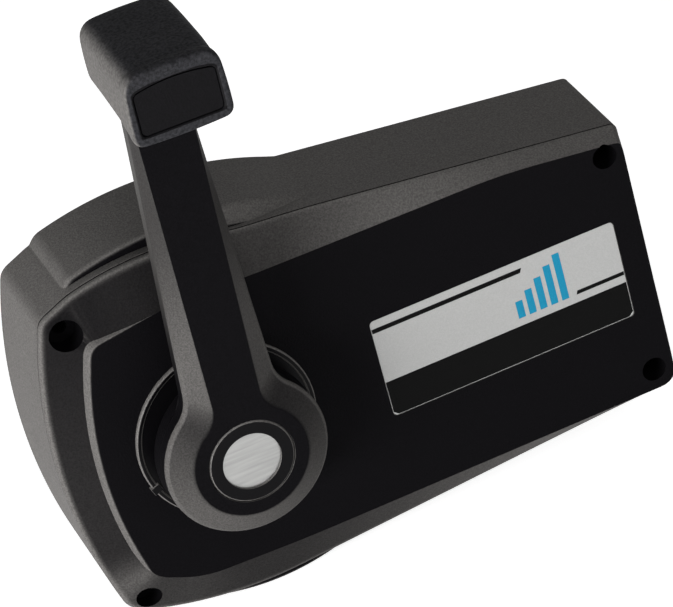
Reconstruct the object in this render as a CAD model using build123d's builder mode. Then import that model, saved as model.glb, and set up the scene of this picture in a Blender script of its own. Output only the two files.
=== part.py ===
"""Side-mount boat control: a lever on a shallow box that works a throttle cable and a shift cable.

Millimetres. The origin lies on the mounting face, on the lever's pivot axis. +X runs along the
box towards the cable outlets, +Z is up, and the lever stands out of the front, towards -Y.
Heights are measured forward from the mounting face, so a height h is the plane Y = -h.
"""
from build123d import *
import os
from math import acos, cos, pi, radians, sin, sqrt, tan

os.makedirs("parts", exist_ok=True)

# ---- box ------------------------------------------------------------------------------------
plate_thickness = 3.0  # plate that closes the back
parting_height = 45.0  # joint between rear housing and front cover
ledge_rise = 2.6  # step round the left end of the front cover
plateau_rise = 9.0
ledge_height = parting_height + ledge_rise
plateau_height = parting_height + plateau_rise  # front face
layer_unit = parting_height / 45.0  # the layers of the mechanism share the depth of the box
wall = 3.0
box_right = 174.6  # right end wall
box_left = -63.1  # furthest point of the bowed left end
left_corner_x = -52.9
top_left_z = 65.4
bottom_left_z = -62.8
shoulder_x, shoulder_z = -40.5, 71.5  # where the top left slope meets the barrel
crown_z = 75.4  # top of the cover over the pivot
barrel_end_x, barrel_end_z = 24.0, 70.6
top_bend_x, top_bend_z = 52.0, 67.6
top_right_z = 50.2
bottom_right_z = -62.0
belly_x, belly_z = 18.0, -73.5  # where the flat bottom meets the barrel
top_corner_radius = 4.5
bottom_corner_radius = 8.0

# plateau and the foot of the slopes that lead up to it
plateau_left = -48.6
plateau_top_z = 55.6
plateau_crown_z = 57.0
plateau_bottom_z = -58.9
plateau_inset = 2.2  # at the right end, where there is only a rounded edge
step_run = 2.6  # width of the step between ledge and plateau
step_turn_x = 4.0  # behind the lever, where the step turns into the long top slope
slope_end_x = 125.0  # where the long top slope has run out
slope_end_foot_z = 55.8
foot_belly_end = (-30.0, -69.2)  # lower left turn of the foot, and of the plateau above it
foot_left_end = (-45.5, -51.5)
plateau_belly_end = (-24.0, -57.2)
plateau_left_end = (-42.0, -48.6)
hollow_belly_end = (-22.0, -54.0)
hollow_left_end = (-39.0, -43.0)
lip_inset = 0.8  # small round at the foot of the slopes

# barrel of the rear housing, proud of the box over the pivot
barrel_top_z = 79.8
barrel_bottom_z = -78.6
barrel_left_x = -37.5
barrel_shoulder_z = 74.6
barrel_run_out_x, barrel_run_out_z = 54.0, 68.6
barrel_bevel = 5.0

# mounting screws
mount_points = [(-45.5, 58.5), (-45.3, -58.5), (box_right - 9.8, 44.5), (box_right - 10.2, -50.3)]
mount_mouth_radii = [6.2, 4.9, 4.8, 4.8]
mount_bore_radius = 2.75
mount_seat_height = parting_height - 4.0  # where the screw heads land
column_radius = 8.0

# screws that join cover, housing and back plate
post_x = 112.0
post_radius = 5.0
post_sink = 0.9155  # how far the upper post reaches into the wall beside it
top_slope = (top_right_z - top_bend_z) / (box_right - top_bend_x)
upper_post_z = top_bend_z + top_slope * (post_x - top_bend_x) - wall - post_radius + post_sink
cover_post_points = [(-44.0, 22.0), (post_x, upper_post_z), (post_x, -60.0)]
left_web = 4.0  # thickness of the web that ties the left post to the end wall
plate_pad_points = [
    (box_left + wall + 4.6, -14.0), (20.0, 63.8), (60.0, -63.0), (box_right - wall - 4.6, 22.0)
]
pad_depth = 12.0
small_screw_radius = 1.75
small_head_radius = 3.2
small_head_height = 2.0
seat_gap = 0.3  # clearance round pieces that drop into a recess
spigot_depth = 3.0  # tongue of the cover inside the housing
spigot_thickness = 1.8

# label recess
label_left = 62.0
label_width = 100.0
label_top_z = 17.6
label_height = 42.1
label_recess_depth = 1.0
label_thickness = 0.8
label_corner = 2.0
label_gap = 0.15

# ---- shaft and its bearings -----------------------------------------------------------------
running_gap = 0.05
thrust_gap = 0.3
rear_journal_radius = 6.0
drive_radius = 8.0
drive_flat = 6.2
front_journal_radius = 9.0
shaft_hex = 15.0
thread_radius = 7.0
rod_bore_radius = 2.5
rear_bush_wall = 2.0
rear_boss_height = 9.0
main_bush_radius = 11.0
bush_flange_radius = 14.0
bush_flange_thickness = 2.0
bush_proud = 4.6  # how far the front bush stands out of the face
clip_thickness = 1.0
clip_depth = 0.6
clip_width = 2.6

# layers of the mechanism, by height
swivel_thickness = 8.5 * layer_unit
shift_swivel_foot = 6.0 * layer_unit
shift_arm_foot = 15.5 * layer_unit
lever_plate_thickness = 4.0 * layer_unit
gear_foot = 20.5 * layer_unit
gear_thickness = 7.0 * layer_unit
crank_foot = plateau_height - 12.0 * layer_unit
throttle_swivel_foot = crank_foot - swivel_thickness - 0.5
rear_journal_end = 14.0 * layer_unit

# gears
tooth_module = 2.0
drive_teeth = 15
shift_teeth = 30
sector_teeth = 10
pressure_angle = 20.0
backlash = 0.3
gear_distance = tooth_module * (drive_teeth + shift_teeth) / 2
sector_hub_radius = 13.0

# crank, swivels and pins
crank_reach = 42.0
crank_disc_radius = 30.0
crank_tip_radius = 8.0
notch_radius = 4.0
notch_offset = 32.0
detent_angle = 215.0
detent_step = 30.0
pin_radius = 3.5
swivel_radius = 6.5
swivel_stem_length = 16.0
rod_thread_radius = 2.1
rod_thread_length = 11.0
shift_reach = 36.0
shift_stud_radius = 5.0
shift_bush_radius = 8.0
stud_flange_radius = 9.0
stud_flange_thickness = 2.0
stud_spigot_radius = 4.0
arm_tip_radius = 7.0

# detent
roller_radius = 5.0
roller_gap = 0.3
roller_pin_radius = 2.0
detent_pivot_point = (-22.0, -46.0)
detent_pivot_radius = 3.0
detent_head_radius = 6.0
detent_arm_thickness = 3.6 * layer_unit
detent_arm_foot = crank_foot - detent_arm_thickness - 0.6
detent_coil_radius = 3.2
detent_wire_radius = 0.5
detent_seat_left = -57.0
detent_seat_thickness = 3.0
detent_pin_depth = 8.0

# ---- lever ----------------------------------------------------------------------------------
lever_lean = 1.5  # degrees towards the outlets in neutral
hub_foot = 3.3  # gap side of the hub, above the front face
hub_neck_top = 10.0
hub_rim_top = 23.2
hub_face = 28.2
hub_neck_radius = 27.0
hub_rim_radius = 31.3
hub_face_radius = 21.9
hub_recess_radius = 16.6
hub_floor = 13.0
arm_back = 16.5
arm_root_half = 17.6
arm_tip_half = 11.2
arm_face_root_half = 9.2
arm_face_tip_half = 10.9
arm_tip_z = 159.7
arm_blend = 11.0
arm_cover_thickness = 2.2
arm_cover_inset = 1.2
arm_cover_low_z = 42.0
arm_cover_high_z = 150.0
arm_hollow_depth = 6.0
arm_hollow_wall = 3.0

# pivot collar on the front face
collar_radius = 35.0
collar_rim = 2.2
collar_rim_height = 1.8
collar_floor = 1.0
collar_nose_radius = 16.0
collar_nib_angle = 201.0

# button in the hub
button_gap = 0.25
button_thickness = 4.0
button_skirt = 1.8
button_skirt_depth = 2.7
disc_radius = 11.2
disc_sink = 0.9
disc_thickness = 1.1
washer_thickness = 1.5
nut_height = 4.5
nut_width = 17.0
rod_gap = 0.08
rod_end_height = 20.0
spring_mean_radius = 13.2
spring_wire_radius = 0.7
spring_turns = 4

# grip
grip_low_half = 18.3  # half width at the bottom of the front
grip_top_half = 16.9
grip_back = 8.5  # gap between grip and front face
grip_front = 60.5
grip_bottom_z = 161.0
grip_lip_top_z = 158.5
grip_top_z = 181.6
grip_front_top_z = 179.2
grip_lip_z = 152.8
grip_lip_start = 48.0
grip_crown = 0.8
grip_edge = 5.5
grip_lip_edge = 3.0
grip_back_corner = 6.0
grip_front_corner = 3.5
pad_width = 30.2
pad_low_z = 156.6
pad_high_z = 172.8
pad_bow = 1.9
pad_thickness = 1.2
pad_sink = 0.5
pad_gap = 0.25
tang_half_width = 7.0
tang_foot = arm_back + 2.0
tang_thickness = 7.0
tang_top_z = 174.0
tang_gap = 0.1
grip_screw_z = 168.0
grip_screw_radius = 2.0
grip_screw_head_radius = 4.0
grip_screw_head_height = 2.5
grip_screw_length = 19.0

# cable clamps and outlets
throttle_line_z = 0.0
throttle_line_height = parting_height - 14.0
shift_line_z = -33.0
shift_line_height = 12.5 * layer_unit
clamp_left = box_right - 36.6
clamp_length = 14.0
clamp_half_width = 12.0
clamp_cable_radius = 5.0
clamp_gap = 0.6
clamp_plate_thickness = 3.0
clamp_screw_spread = 8.5
outlet_radius = 7.0
grommet_lip = 1.5
grommet_bore_radius = 4.5
grommet_flange = 1.6


def layer(height):
    """Plane parallel to the mounting face; its sketches read X and Z, and extrude forward."""
    return Plane.XZ.offset(height)


lean_x = (cos(radians(lever_lean)), 0, -sin(radians(lever_lean)))


def lever_layer(height):
    """As layer, turned with the lever, so that its sketches read across and along the arm."""
    return Plane(origin=(0, -height, 0), x_dir=lean_x, z_dir=(0, -1, 0))


# side view of the lever: first coordinate is the height, second runs along the arm
lever_side = Plane(origin=(0, 0, 0), x_dir=(0, -1, 0), z_dir=(-lean_x[0], 0, -lean_x[2]))
# view from above: first coordinate runs across the arm, second is Y
lever_top = Plane(origin=(0, 0, 0), x_dir=lean_x, z_dir=(-lean_x[2], 0, lean_x[0]))


def polar(radius, angle):
    return (radius * cos(radians(angle)), radius * sin(radians(angle)))


roller_point = polar(crank_disc_radius + roller_radius + roller_gap, detent_angle)
throttle_point = (crank_reach, 0.0)
shift_pivot = (gear_distance, 0.0)
shift_point = (gear_distance, -shift_reach)


def near(points, places, reach=0.5):
    """The vertices that lie at the given places of a sketch."""
    return [v for v in points if any(abs(v.X - x) < reach and abs(v.Y - y) < reach for x, y in places)]


def box_outline(inset=0.0):
    """Outline of the box at the joint, moved in by inset."""
    with BuildLine() as rim:
        Line((left_corner_x, top_left_z), (shoulder_x, shoulder_z))
        ThreePointArc(
            (shoulder_x, shoulder_z), (-10, crown_z), (barrel_end_x, barrel_end_z)
        )
        Polyline(
            (barrel_end_x, barrel_end_z),
            (top_bend_x, top_bend_z),
            (box_right, top_right_z),
            (box_right, bottom_right_z),
            (belly_x, belly_z),
        )
        ThreePointArc((belly_x, belly_z), (-13, -73.0), (left_corner_x + 4, bottom_left_z - 1.2))
        Line((left_corner_x + 4, bottom_left_z - 1.2), (left_corner_x, bottom_left_z + 3))
        ThreePointArc(
            (left_corner_x, bottom_left_z + 3), (box_left, 5), (left_corner_x, top_left_z)
        )
    make_face(rim.edges())
    fillet(near(vertices(), [(box_right, bottom_right_z)]), bottom_corner_radius)
    fillet(near(vertices(), [(left_corner_x, top_left_z), (box_right, top_right_z)]), top_corner_radius)
    if inset:
        offset(amount=-inset, mode=Mode.REPLACE)


def slope_outline(left, top_left, turn, top_mid, top_end, right, bottom_right, bottom, bottom_left):
    """Eleven-sided outline shared by the foot and the top of the plateau."""
    with BuildLine() as rim:
        ThreePointArc(bottom_left, (left, -3), top_left)
        Line(top_left, turn[0])
        Polyline(turn[0], turn[1], top_mid[0], top_mid[1], top_end, right, bottom_right)
        Polyline(bottom_right, bottom[0], bottom[1], bottom_left)
    make_face(rim.edges())


def barrel_outline(inset):
    """Bulge round the pivot, above and below the box; inset brings its crowns in."""
    with BuildLine() as rim:
        Line((shoulder_x - 0.5, shoulder_z - 1), (barrel_left_x, barrel_shoulder_z - inset))
        ThreePointArc(
            (barrel_left_x, barrel_shoulder_z - inset),
            (-3.6, barrel_top_z - inset),
            (barrel_run_out_x, barrel_run_out_z - inset),
        )
        Line((barrel_run_out_x, barrel_run_out_z - inset), (barrel_run_out_x - 8, belly_z + 2.4 + inset))
        ThreePointArc(
            (barrel_run_out_x - 8, belly_z + 2.4 + inset),
            (4, barrel_bottom_z + inset),
            (barrel_left_x + 1.5, belly_z + 6 + inset),
        )
        Line((barrel_left_x + 1.5, belly_z + 6 + inset), (shoulder_x - 0.5, shoulder_z - 1))
    make_face(rim.edges())


def half_thickness(teeth, radius):
    """Half the angle, in degrees, that an involute tooth fills at a radius."""
    pitch = tooth_module * teeth / 2
    base = pitch * cos(radians(pressure_angle))
    slope = acos(min(1, base / radius))
    involute = tan(radians(pressure_angle)) - radians(pressure_angle) - tan(slope) + slope
    return (pi / (2 * teeth) - backlash / 4 / pitch + involute) * 180 / pi


def tooth(teeth, angle):
    """One involute tooth on its root circle, centred on the given direction."""
    pitch = tooth_module * teeth / 2
    base = pitch * cos(radians(pressure_angle))
    root = pitch - 1.25 * tooth_module
    foot = max(base, root)
    tip = pitch + tooth_module
    waist = (foot + tip) / 2
    sides = []
    for side in (-1, 1):
        sides.append([polar(r, angle + side * half_thickness(teeth, r)) for r in (foot, waist, tip)])
    low, high = sides
    low_foot = polar(root - 1, angle - half_thickness(teeth, foot))
    high_foot = polar(root - 1, angle + half_thickness(teeth, foot))
    with BuildLine() as flanks:
        Line(low_foot, low[0])
        ThreePointArc(*low)
        Line(low[2], high[2])
        ThreePointArc(*high)
        Line(high[0], high_foot)
        Line(high_foot, low_foot)
    make_face(flanks.edges())


def drive_section(gap=0.0):
    """Round shaft with one flat, which carries the gear and the crank."""
    Circle(drive_radius + gap)
    with Locations((drive_flat + gap + drive_radius, 0)):
        Rectangle(2 * drive_radius, 4 * drive_radius, mode=Mode.SUBTRACT)


def lever_outline(hub_radius, root_half, tip_half):
    """Hub circle with the tapering arm rising from it, joined by concave blends."""
    joint_z = sqrt(hub_radius**2 - root_half**2)
    with BuildLine() as rim:
        ThreePointArc((-root_half, joint_z), (0, -hub_radius), (root_half, joint_z))
        Polyline(
            (root_half, joint_z), (tip_half, arm_tip_z), (-tip_half, arm_tip_z), (-root_half, joint_z)
        )
    make_face(rim.edges())
    fillet(near(vertices(), [(-root_half, joint_z), (root_half, joint_z)]), arm_blend)


def pad_outline(gap):
    """Front pad of the grip: a rectangle with a bowed top edge."""
    half = pad_width / 2 - gap
    low, high = pad_low_z + gap, pad_high_z - gap
    with BuildLine() as rim:
        Polyline((-half, high), (-half, low), (half, low), (half, high))
        ThreePointArc((half, high), (0, high + pad_bow), (-half, high))
    make_face(rim.edges())
    fillet(vertices(), label_corner - gap)


def ring(outer, inner):
    Circle(outer)
    Circle(inner, mode=Mode.SUBTRACT)


def keep_posts(gap=0.0):
    """Leaves the cover posts, and the web of the left one, out of a hollow."""
    with Locations(*cover_post_points):
        Circle(post_radius + gap, mode=Mode.SUBTRACT)
    post_x, post_z = cover_post_points[0]
    with Locations(((box_left + post_x) / 2, post_z)):
        Rectangle(post_x - box_left, left_web + 2 * gap, mode=Mode.SUBTRACT)


with BuildPart() as front_cover:
    # ledge all round, then the plateau on its slopes
    with BuildSketch(layer(parting_height)):
        box_outline()
    extrude(amount=ledge_height - parting_height)
    with BuildSketch(layer(ledge_height)):
        slope_outline(
            left=plateau_left - step_run,
            top_left=(-41.6, plateau_top_z - 0.6),
            turn=[(-step_turn_x, plateau_crown_z + step_run), (step_turn_x, crown_z - lip_inset - 1)],
            top_mid=[
                (barrel_end_x, barrel_end_z - lip_inset),
                (top_bend_x, top_bend_z - lip_inset),
            ],
            top_end=(slope_end_x, slope_end_foot_z),
            right=(box_right - lip_inset, top_right_z - lip_inset),
            bottom_right=(box_right - lip_inset, bottom_right_z + lip_inset),
            bottom=[(belly_x, belly_z + lip_inset), foot_belly_end],
            bottom_left=foot_left_end,
        )
    with BuildSketch(layer(plateau_height)):
        slope_outline(
            left=plateau_left,
            top_left=(-39.4, plateau_top_z - 3.0),
            turn=[(-step_turn_x, plateau_crown_z), (step_turn_x, plateau_crown_z)],
            top_mid=[
                (barrel_end_x, plateau_top_z),
                (top_bend_x, plateau_top_z - 0.4),
            ],
            top_end=(slope_end_x, plateau_top_z - 1.2),
            right=(box_right - plateau_inset, top_right_z - plateau_inset),
            bottom_right=(box_right - plateau_inset, plateau_bottom_z),
            bottom=[(belly_x, plateau_bottom_z), plateau_belly_end],
            bottom_left=plateau_left_end,
        )
    loft(ruled=True)
    # tongue that locates the cover in the housing
    with BuildSketch(layer(parting_height)):
        box_outline(wall + label_gap)
        with BuildSketch(mode=Mode.PRIVATE) as tongue_hollow:
            box_outline(wall + label_gap + spigot_thickness)
        add(tongue_hollow.sketch, mode=Mode.SUBTRACT)
        with Locations(*mount_points):
            Circle(column_radius + seat_gap, mode=Mode.SUBTRACT)
        with Locations(*plate_pad_points):
            Circle(post_radius + seat_gap, mode=Mode.SUBTRACT)
        keep_posts(seat_gap)
        with Locations((box_right, throttle_line_z), (box_right, shift_line_z)):
            Rectangle(6 * wall, 2 * (outlet_radius + grommet_lip + seat_gap), mode=Mode.SUBTRACT)
    extrude(amount=-spigot_depth)
    # hollow behind the plateau
    with BuildSketch(layer(parting_height)):
        slope_outline(
            left=plateau_left + wall,
            top_left=(-37, plateau_top_z - 5 - wall),
            turn=[
                (-step_turn_x, plateau_crown_z - wall),
                (step_turn_x, plateau_crown_z - wall),
            ],
            top_mid=[(barrel_end_x, plateau_top_z - wall), (top_bend_x, plateau_top_z - wall)],
            top_end=(slope_end_x, plateau_top_z - 2 - wall),
            right=(box_right - plateau_inset - wall, top_right_z - plateau_inset - wall),
            bottom_right=(box_right - plateau_inset - wall, plateau_bottom_z + wall),
            bottom=[(belly_x, plateau_bottom_z + wall), hollow_belly_end],
            bottom_left=hollow_left_end,
        )
        with Locations(*mount_points):
            Circle(column_radius, mode=Mode.SUBTRACT)
        with Locations(*cover_post_points):
            Circle(post_radius, mode=Mode.SUBTRACT)
    extrude(amount=plateau_height - wall - parting_height, mode=Mode.SUBTRACT)
    # pad under the bush flange, seat of the detent spring, boss of the detent pivot
    with BuildSketch(layer(plateau_height - wall)):
        Circle(bush_flange_radius + 2)
    extrude(amount=-1.0)
    with BuildSketch(layer(plateau_height - wall)):
        with Locations(detent_pivot_point):
            Circle(detent_head_radius + 1)
    extrude(amount=-(plateau_height - wall - detent_arm_foot - detent_arm_thickness - 1.2))
    with BuildSketch(layer(parting_height)):
        with Locations((detent_seat_left + detent_seat_thickness / 2, roller_point[1])):
            Rectangle(detent_seat_thickness, 3 * detent_coil_radius)
    extrude(amount=-(parting_height - detent_arm_foot + 2))
    # pivot hole, label recess and screw holes
    with BuildSketch(layer(plateau_height)):
        Circle(main_bush_radius)
    extrude(amount=-2 * wall, mode=Mode.SUBTRACT)
    with BuildSketch(layer(plateau_height)):
        with Locations((label_left + label_width / 2, label_top_z - label_height / 2)):
            RectangleRounded(label_width, label_height, label_corner)
    extrude(amount=-label_recess_depth, mode=Mode.SUBTRACT)
    for place, mouth in zip(mount_points, mount_mouth_radii):
        with BuildSketch(layer(plateau_height)):
            with Locations(place):
                Circle(mouth)
        extrude(amount=-plateau_height, mode=Mode.SUBTRACT)
    for place in cover_post_points:
        with BuildSketch(layer(parting_height)):
            with Locations(place):
                Circle(small_screw_radius + running_gap)
        extrude(amount=plateau_height - wall - parting_height, mode=Mode.SUBTRACT)
    with BuildSketch(layer(detent_arm_foot + detent_arm_thickness)):
        with Locations(detent_pivot_point):
            Circle(detent_pivot_radius)
    extrude(amount=detent_pin_depth, mode=Mode.SUBTRACT)
front_cover.part.label = "front_cover"
export_step(front_cover.part, "parts/front_cover.step")

with BuildPart() as rear_housing:
    with BuildSketch(layer(0)):
        box_outline()
    extrude(amount=parting_height)
    with BuildSketch(layer(0)):
        barrel_outline(0)
    extrude(amount=parting_height - barrel_bevel)
    with BuildSketch(layer(parting_height - barrel_bevel)):
        barrel_outline(0)
    with BuildSketch(layer(parting_height)):
        barrel_outline(barrel_bevel)
    loft(ruled=True)
    # hollow: the full opening for the back plate, then what the pads and posts leave
    with BuildSketch(layer(0)):
        box_outline(wall)
        with Locations(*mount_points):
            Circle(column_radius, mode=Mode.SUBTRACT)
    extrude(amount=plate_thickness, mode=Mode.SUBTRACT)
    with BuildSketch(layer(plate_thickness)):
        box_outline(wall)
        with Locations(*mount_points):
            Circle(column_radius, mode=Mode.SUBTRACT)
        with Locations(*plate_pad_points):
            Circle(post_radius, mode=Mode.SUBTRACT)
        keep_posts()
    extrude(amount=pad_depth, mode=Mode.SUBTRACT)
    with BuildSketch(layer(plate_thickness + pad_depth)):
        box_outline(wall)
        with Locations(*mount_points):
            Circle(column_radius, mode=Mode.SUBTRACT)
        keep_posts()
    extrude(amount=parting_height, mode=Mode.SUBTRACT)
    # mounting bores with seats for the screw heads
    for place, mouth in zip(mount_points, mount_mouth_radii):
        with BuildSketch(layer(0)):
            with Locations(place):
                Circle(mount_bore_radius)
        extrude(amount=parting_height, mode=Mode.SUBTRACT)
        with BuildSketch(layer(mount_seat_height)):
            with Locations(place):
                Circle(mouth)
        extrude(amount=parting_height, mode=Mode.SUBTRACT)
    # bores for the cover screws, with room for their heads, and for the back plate screws
    with BuildSketch(layer(0)):
        with Locations(*cover_post_points):
            Circle(small_screw_radius + running_gap)
    extrude(amount=parting_height, mode=Mode.SUBTRACT)
    with BuildSketch(layer(plate_thickness)):
        with Locations(*cover_post_points):
            Circle(small_head_radius + running_gap)
    extrude(amount=small_head_height + thrust_gap, mode=Mode.SUBTRACT)
    with BuildSketch(layer(plate_thickness)):
        with Locations(*plate_pad_points):
            Circle(small_screw_radius + running_gap)
    extrude(amount=pad_depth - 2, mode=Mode.SUBTRACT)
    # cable outlets through the end wall
    with BuildSketch(Plane.YZ.offset(box_right)):
        with Locations((-throttle_line_height, throttle_line_z), (-shift_line_height, shift_line_z)):
            Circle(outlet_radius)
    extrude(amount=-2 * wall, mode=Mode.SUBTRACT)
rear_housing.part.label = "rear_housing"
export_step(rear_housing.part, "parts/rear_housing.step")

with BuildPart() as back_plate:
    with BuildSketch(layer(0)):
        box_outline(wall + seat_gap)
        with Locations(*mount_points):
            Circle(column_radius + seat_gap, mode=Mode.SUBTRACT)
    extrude(amount=plate_thickness)
    # boss for the rear bush
    rear_bush_radius = rear_journal_radius + running_gap + rear_bush_wall
    with BuildSketch(layer(plate_thickness)):
        Circle(rear_bush_radius + wall)
    extrude(amount=rear_boss_height - plate_thickness)
    with BuildSketch(layer(plate_thickness)):
        Circle(rear_bush_radius)
    extrude(amount=rear_boss_height, mode=Mode.SUBTRACT)
    # stiffening ribs that join the boss to the foot of the shift stud
    with BuildSketch(layer(plate_thickness)):
        with Locations((gear_distance / 2, 0)):
            Rectangle(gear_distance - 2 * stud_flange_radius - 3, wall)
        Circle(rear_bush_radius + 1, mode=Mode.SUBTRACT)
    extrude(amount=stud_flange_thickness)
    with BuildSketch(layer(0)):
        with Locations(shift_pivot):
            Circle(stud_spigot_radius)
    extrude(amount=plate_thickness, mode=Mode.SUBTRACT)
    for place in plate_pad_points:
        with BuildSketch(layer(0)):
            with Locations(place):
                Circle(small_screw_radius + running_gap)
        extrude(amount=plate_thickness, mode=Mode.SUBTRACT)
        with BuildSketch(layer(0)):
            with Locations(place):
                Circle(small_head_radius + running_gap)
        extrude(amount=small_head_height, mode=Mode.SUBTRACT)
back_plate.part.label = "back_plate"
export_step(back_plate.part, "parts/back_plate.step")

with BuildPart() as back_plate_screws:
    with BuildSketch(layer(0)):
        with Locations(*plate_pad_points):
            Circle(small_head_radius)
    extrude(amount=small_head_height)
    with BuildSketch(layer(small_head_height)):
        with Locations(*plate_pad_points):
            Circle(small_screw_radius)
    extrude(amount=plate_thickness + pad_depth - 3 - small_head_height)
back_plate_screws.part.label = "back_plate_screws"
export_step(back_plate_screws.part, "parts/back_plate_screws.step")

with BuildPart() as cover_screws:
    with BuildSketch(layer(plate_thickness + thrust_gap)):
        with Locations(*cover_post_points):
            Circle(small_head_radius)
    extrude(amount=small_head_height)
    with BuildSketch(layer(plate_thickness + thrust_gap + small_head_height)):
        with Locations(*cover_post_points):
            Circle(small_screw_radius)
    extrude(amount=plateau_height - wall - 1 - plate_thickness - thrust_gap - small_head_height)
cover_screws.part.label = "cover_screws"
export_step(cover_screws.part, "parts/cover_screws.step")

with BuildPart() as label_plate:
    with BuildSketch(layer(plateau_height - label_recess_depth)):
        with Locations((label_left + label_width / 2, label_top_z - label_height / 2)):
            RectangleRounded(
                label_width - 2 * label_gap, label_height - 2 * label_gap, label_corner - label_gap
            )
    extrude(amount=label_thickness)
label_plate.part.label = "label_plate"
export_step(label_plate.part, "parts/label_plate.step")

# ---- bearings and shaft ---------------------------------------------------------------------
bush_foot = plateau_height - wall - 1.0 - bush_flange_thickness
bush_top = plateau_height + bush_proud
hub_seat = plateau_height + hub_floor

with BuildPart() as main_bush:
    with BuildSketch(layer(bush_foot)):
        Circle(bush_flange_radius)
    extrude(amount=bush_flange_thickness)
    with BuildSketch(layer(bush_foot)):
        Circle(main_bush_radius)
    extrude(amount=bush_top - bush_foot)
    with BuildSketch(layer(bush_foot)):
        Circle(front_journal_radius + running_gap)
    extrude(amount=bush_top - bush_foot, mode=Mode.SUBTRACT)
main_bush.part.label = "main_bush"
export_step(main_bush.part, "parts/main_bush.step")

with BuildPart() as rear_bush:
    with BuildSketch(layer(plate_thickness)):
        ring(rear_bush_radius, rear_journal_radius + running_gap)
    extrude(amount=rear_boss_height - plate_thickness)
rear_bush.part.label = "rear_bush"
export_step(rear_bush.part, "parts/rear_bush.step")

with BuildPart() as pivot_collar:
    with BuildSketch(layer(plateau_height)):
        Circle(collar_radius)
    extrude(amount=collar_floor)
    with BuildSketch(layer(plateau_height)):
        ring(collar_radius, collar_radius - collar_rim)
    extrude(amount=collar_rim_height)
    chamfer(edges().filter_by(GeomType.CIRCLE).group_by(Axis.Y)[0], 0.5)
    with BuildSketch(layer(plateau_height)):
        Circle(collar_nose_radius)
    extrude(amount=hub_foot - thrust_gap)
    with BuildSketch(layer(plateau_height)):
        with PolarLocations(collar_radius - collar_rim / 2, 1, start_angle=collar_nib_angle):
            Rectangle(collar_rim + 1.4, 3.2)
    extrude(amount=collar_rim_height + 0.6)
    with BuildSketch(layer(plateau_height)):
        Circle(main_bush_radius)
    extrude(amount=hub_foot, mode=Mode.SUBTRACT)
pivot_collar.part.label = "pivot_collar"
export_step(pivot_collar.part, "parts/pivot_collar.step")

spacer_foot = gear_foot + gear_thickness
crank_top = crank_foot + lever_plate_thickness
hex_foot = plateau_height + bush_proud + 0.4
thread_top = hub_seat + washer_thickness + nut_height + thrust_gap

with BuildPart() as main_shaft:
    with BuildSketch(layer(plate_thickness + thrust_gap)):
        Circle(rear_journal_radius)
    extrude(amount=rear_journal_end - plate_thickness - thrust_gap)
    with BuildSketch(layer(rear_journal_end)):
        drive_section()
    extrude(amount=crank_top - rear_journal_end)
    with BuildSketch(layer(crank_top)):
        Circle(front_journal_radius)
    extrude(amount=hex_foot - crank_top)
    with BuildSketch(lever_layer(hex_foot)):
        RegularPolygon(shaft_hex / 2, 6, major_radius=False)
    extrude(amount=hub_seat - hex_foot)
    with BuildSketch(layer(hub_seat)):
        Circle(thread_radius)
    extrude(amount=thread_top - hub_seat)
    with BuildSketch(layer(rear_journal_end - 2)):
        Circle(rod_bore_radius)
    extrude(amount=thread_top, mode=Mode.SUBTRACT)
    with BuildSketch(layer(gear_foot - clip_thickness)):
        ring(drive_radius + 1, drive_radius - clip_depth)
    extrude(amount=clip_thickness, mode=Mode.SUBTRACT)
main_shaft.part.label = "main_shaft"
export_step(main_shaft.part, "parts/main_shaft.step")

with BuildPart() as shaft_clip:
    with BuildSketch(layer(gear_foot - clip_thickness)):
        ring(drive_radius + clip_width, drive_radius - clip_depth)
        with Locations((0, -drive_radius - clip_width)):
            Rectangle(clip_width, 2 * clip_width, mode=Mode.SUBTRACT)
    extrude(amount=clip_thickness)
shaft_clip.part.label = "shaft_clip"
export_step(shaft_clip.part, "parts/shaft_clip.step")

with BuildPart() as drive_gear:
    with BuildSketch(layer(gear_foot)):
        Circle(tooth_module * (drive_teeth / 2 - 1.25))
        for count in range(drive_teeth):
            tooth(drive_teeth, count * 360 / drive_teeth)
        with BuildSketch(mode=Mode.PRIVATE) as drive_hole:
            drive_section(running_gap)
        add(drive_hole.sketch, mode=Mode.SUBTRACT)
    extrude(amount=gear_thickness)
drive_gear.part.label = "drive_gear"
export_step(drive_gear.part, "parts/drive_gear.step")

with BuildPart() as gear_spacer:
    with BuildSketch(layer(spacer_foot)):
        ring(drive_radius + 3, drive_radius + running_gap)
    extrude(amount=crank_foot - spacer_foot)
gear_spacer.part.label = "gear_spacer"
export_step(gear_spacer.part, "parts/gear_spacer.step")

# ---- throttle side --------------------------------------------------------------------------
with BuildPart() as throttle_crank:
    with BuildSketch(layer(crank_foot)):
        Circle(crank_disc_radius)
        with BuildSketch(mode=Mode.PRIVATE) as crank_arm:
            with Locations(throttle_point):
                Circle(crank_tip_radius)
            with Locations((drive_radius, 0)):
                Circle(2 * crank_tip_radius)
            make_hull()
        add(crank_arm.sketch)
        # detent notches: neutral, and one each side where the gear has engaged
        with PolarLocations(
            notch_offset, 3, start_angle=detent_angle - detent_step, angular_range=2 * detent_step,
            endpoint=True,
        ):
            Circle(notch_radius, mode=Mode.SUBTRACT)
        with BuildSketch(mode=Mode.PRIVATE) as crank_hole:
            drive_section(running_gap)
        add(crank_hole.sketch, mode=Mode.SUBTRACT)
        with PolarLocations(crank_disc_radius * 0.65, 4, start_angle=60, angular_range=240, endpoint=True):
            Circle(crank_disc_radius * 0.15, mode=Mode.SUBTRACT)
        with Locations(throttle_point):
            Circle(pin_radius, mode=Mode.SUBTRACT)
    extrude(amount=lever_plate_thickness)
throttle_crank.part.label = "throttle_crank"
export_step(throttle_crank.part, "parts/throttle_crank.step")


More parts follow.
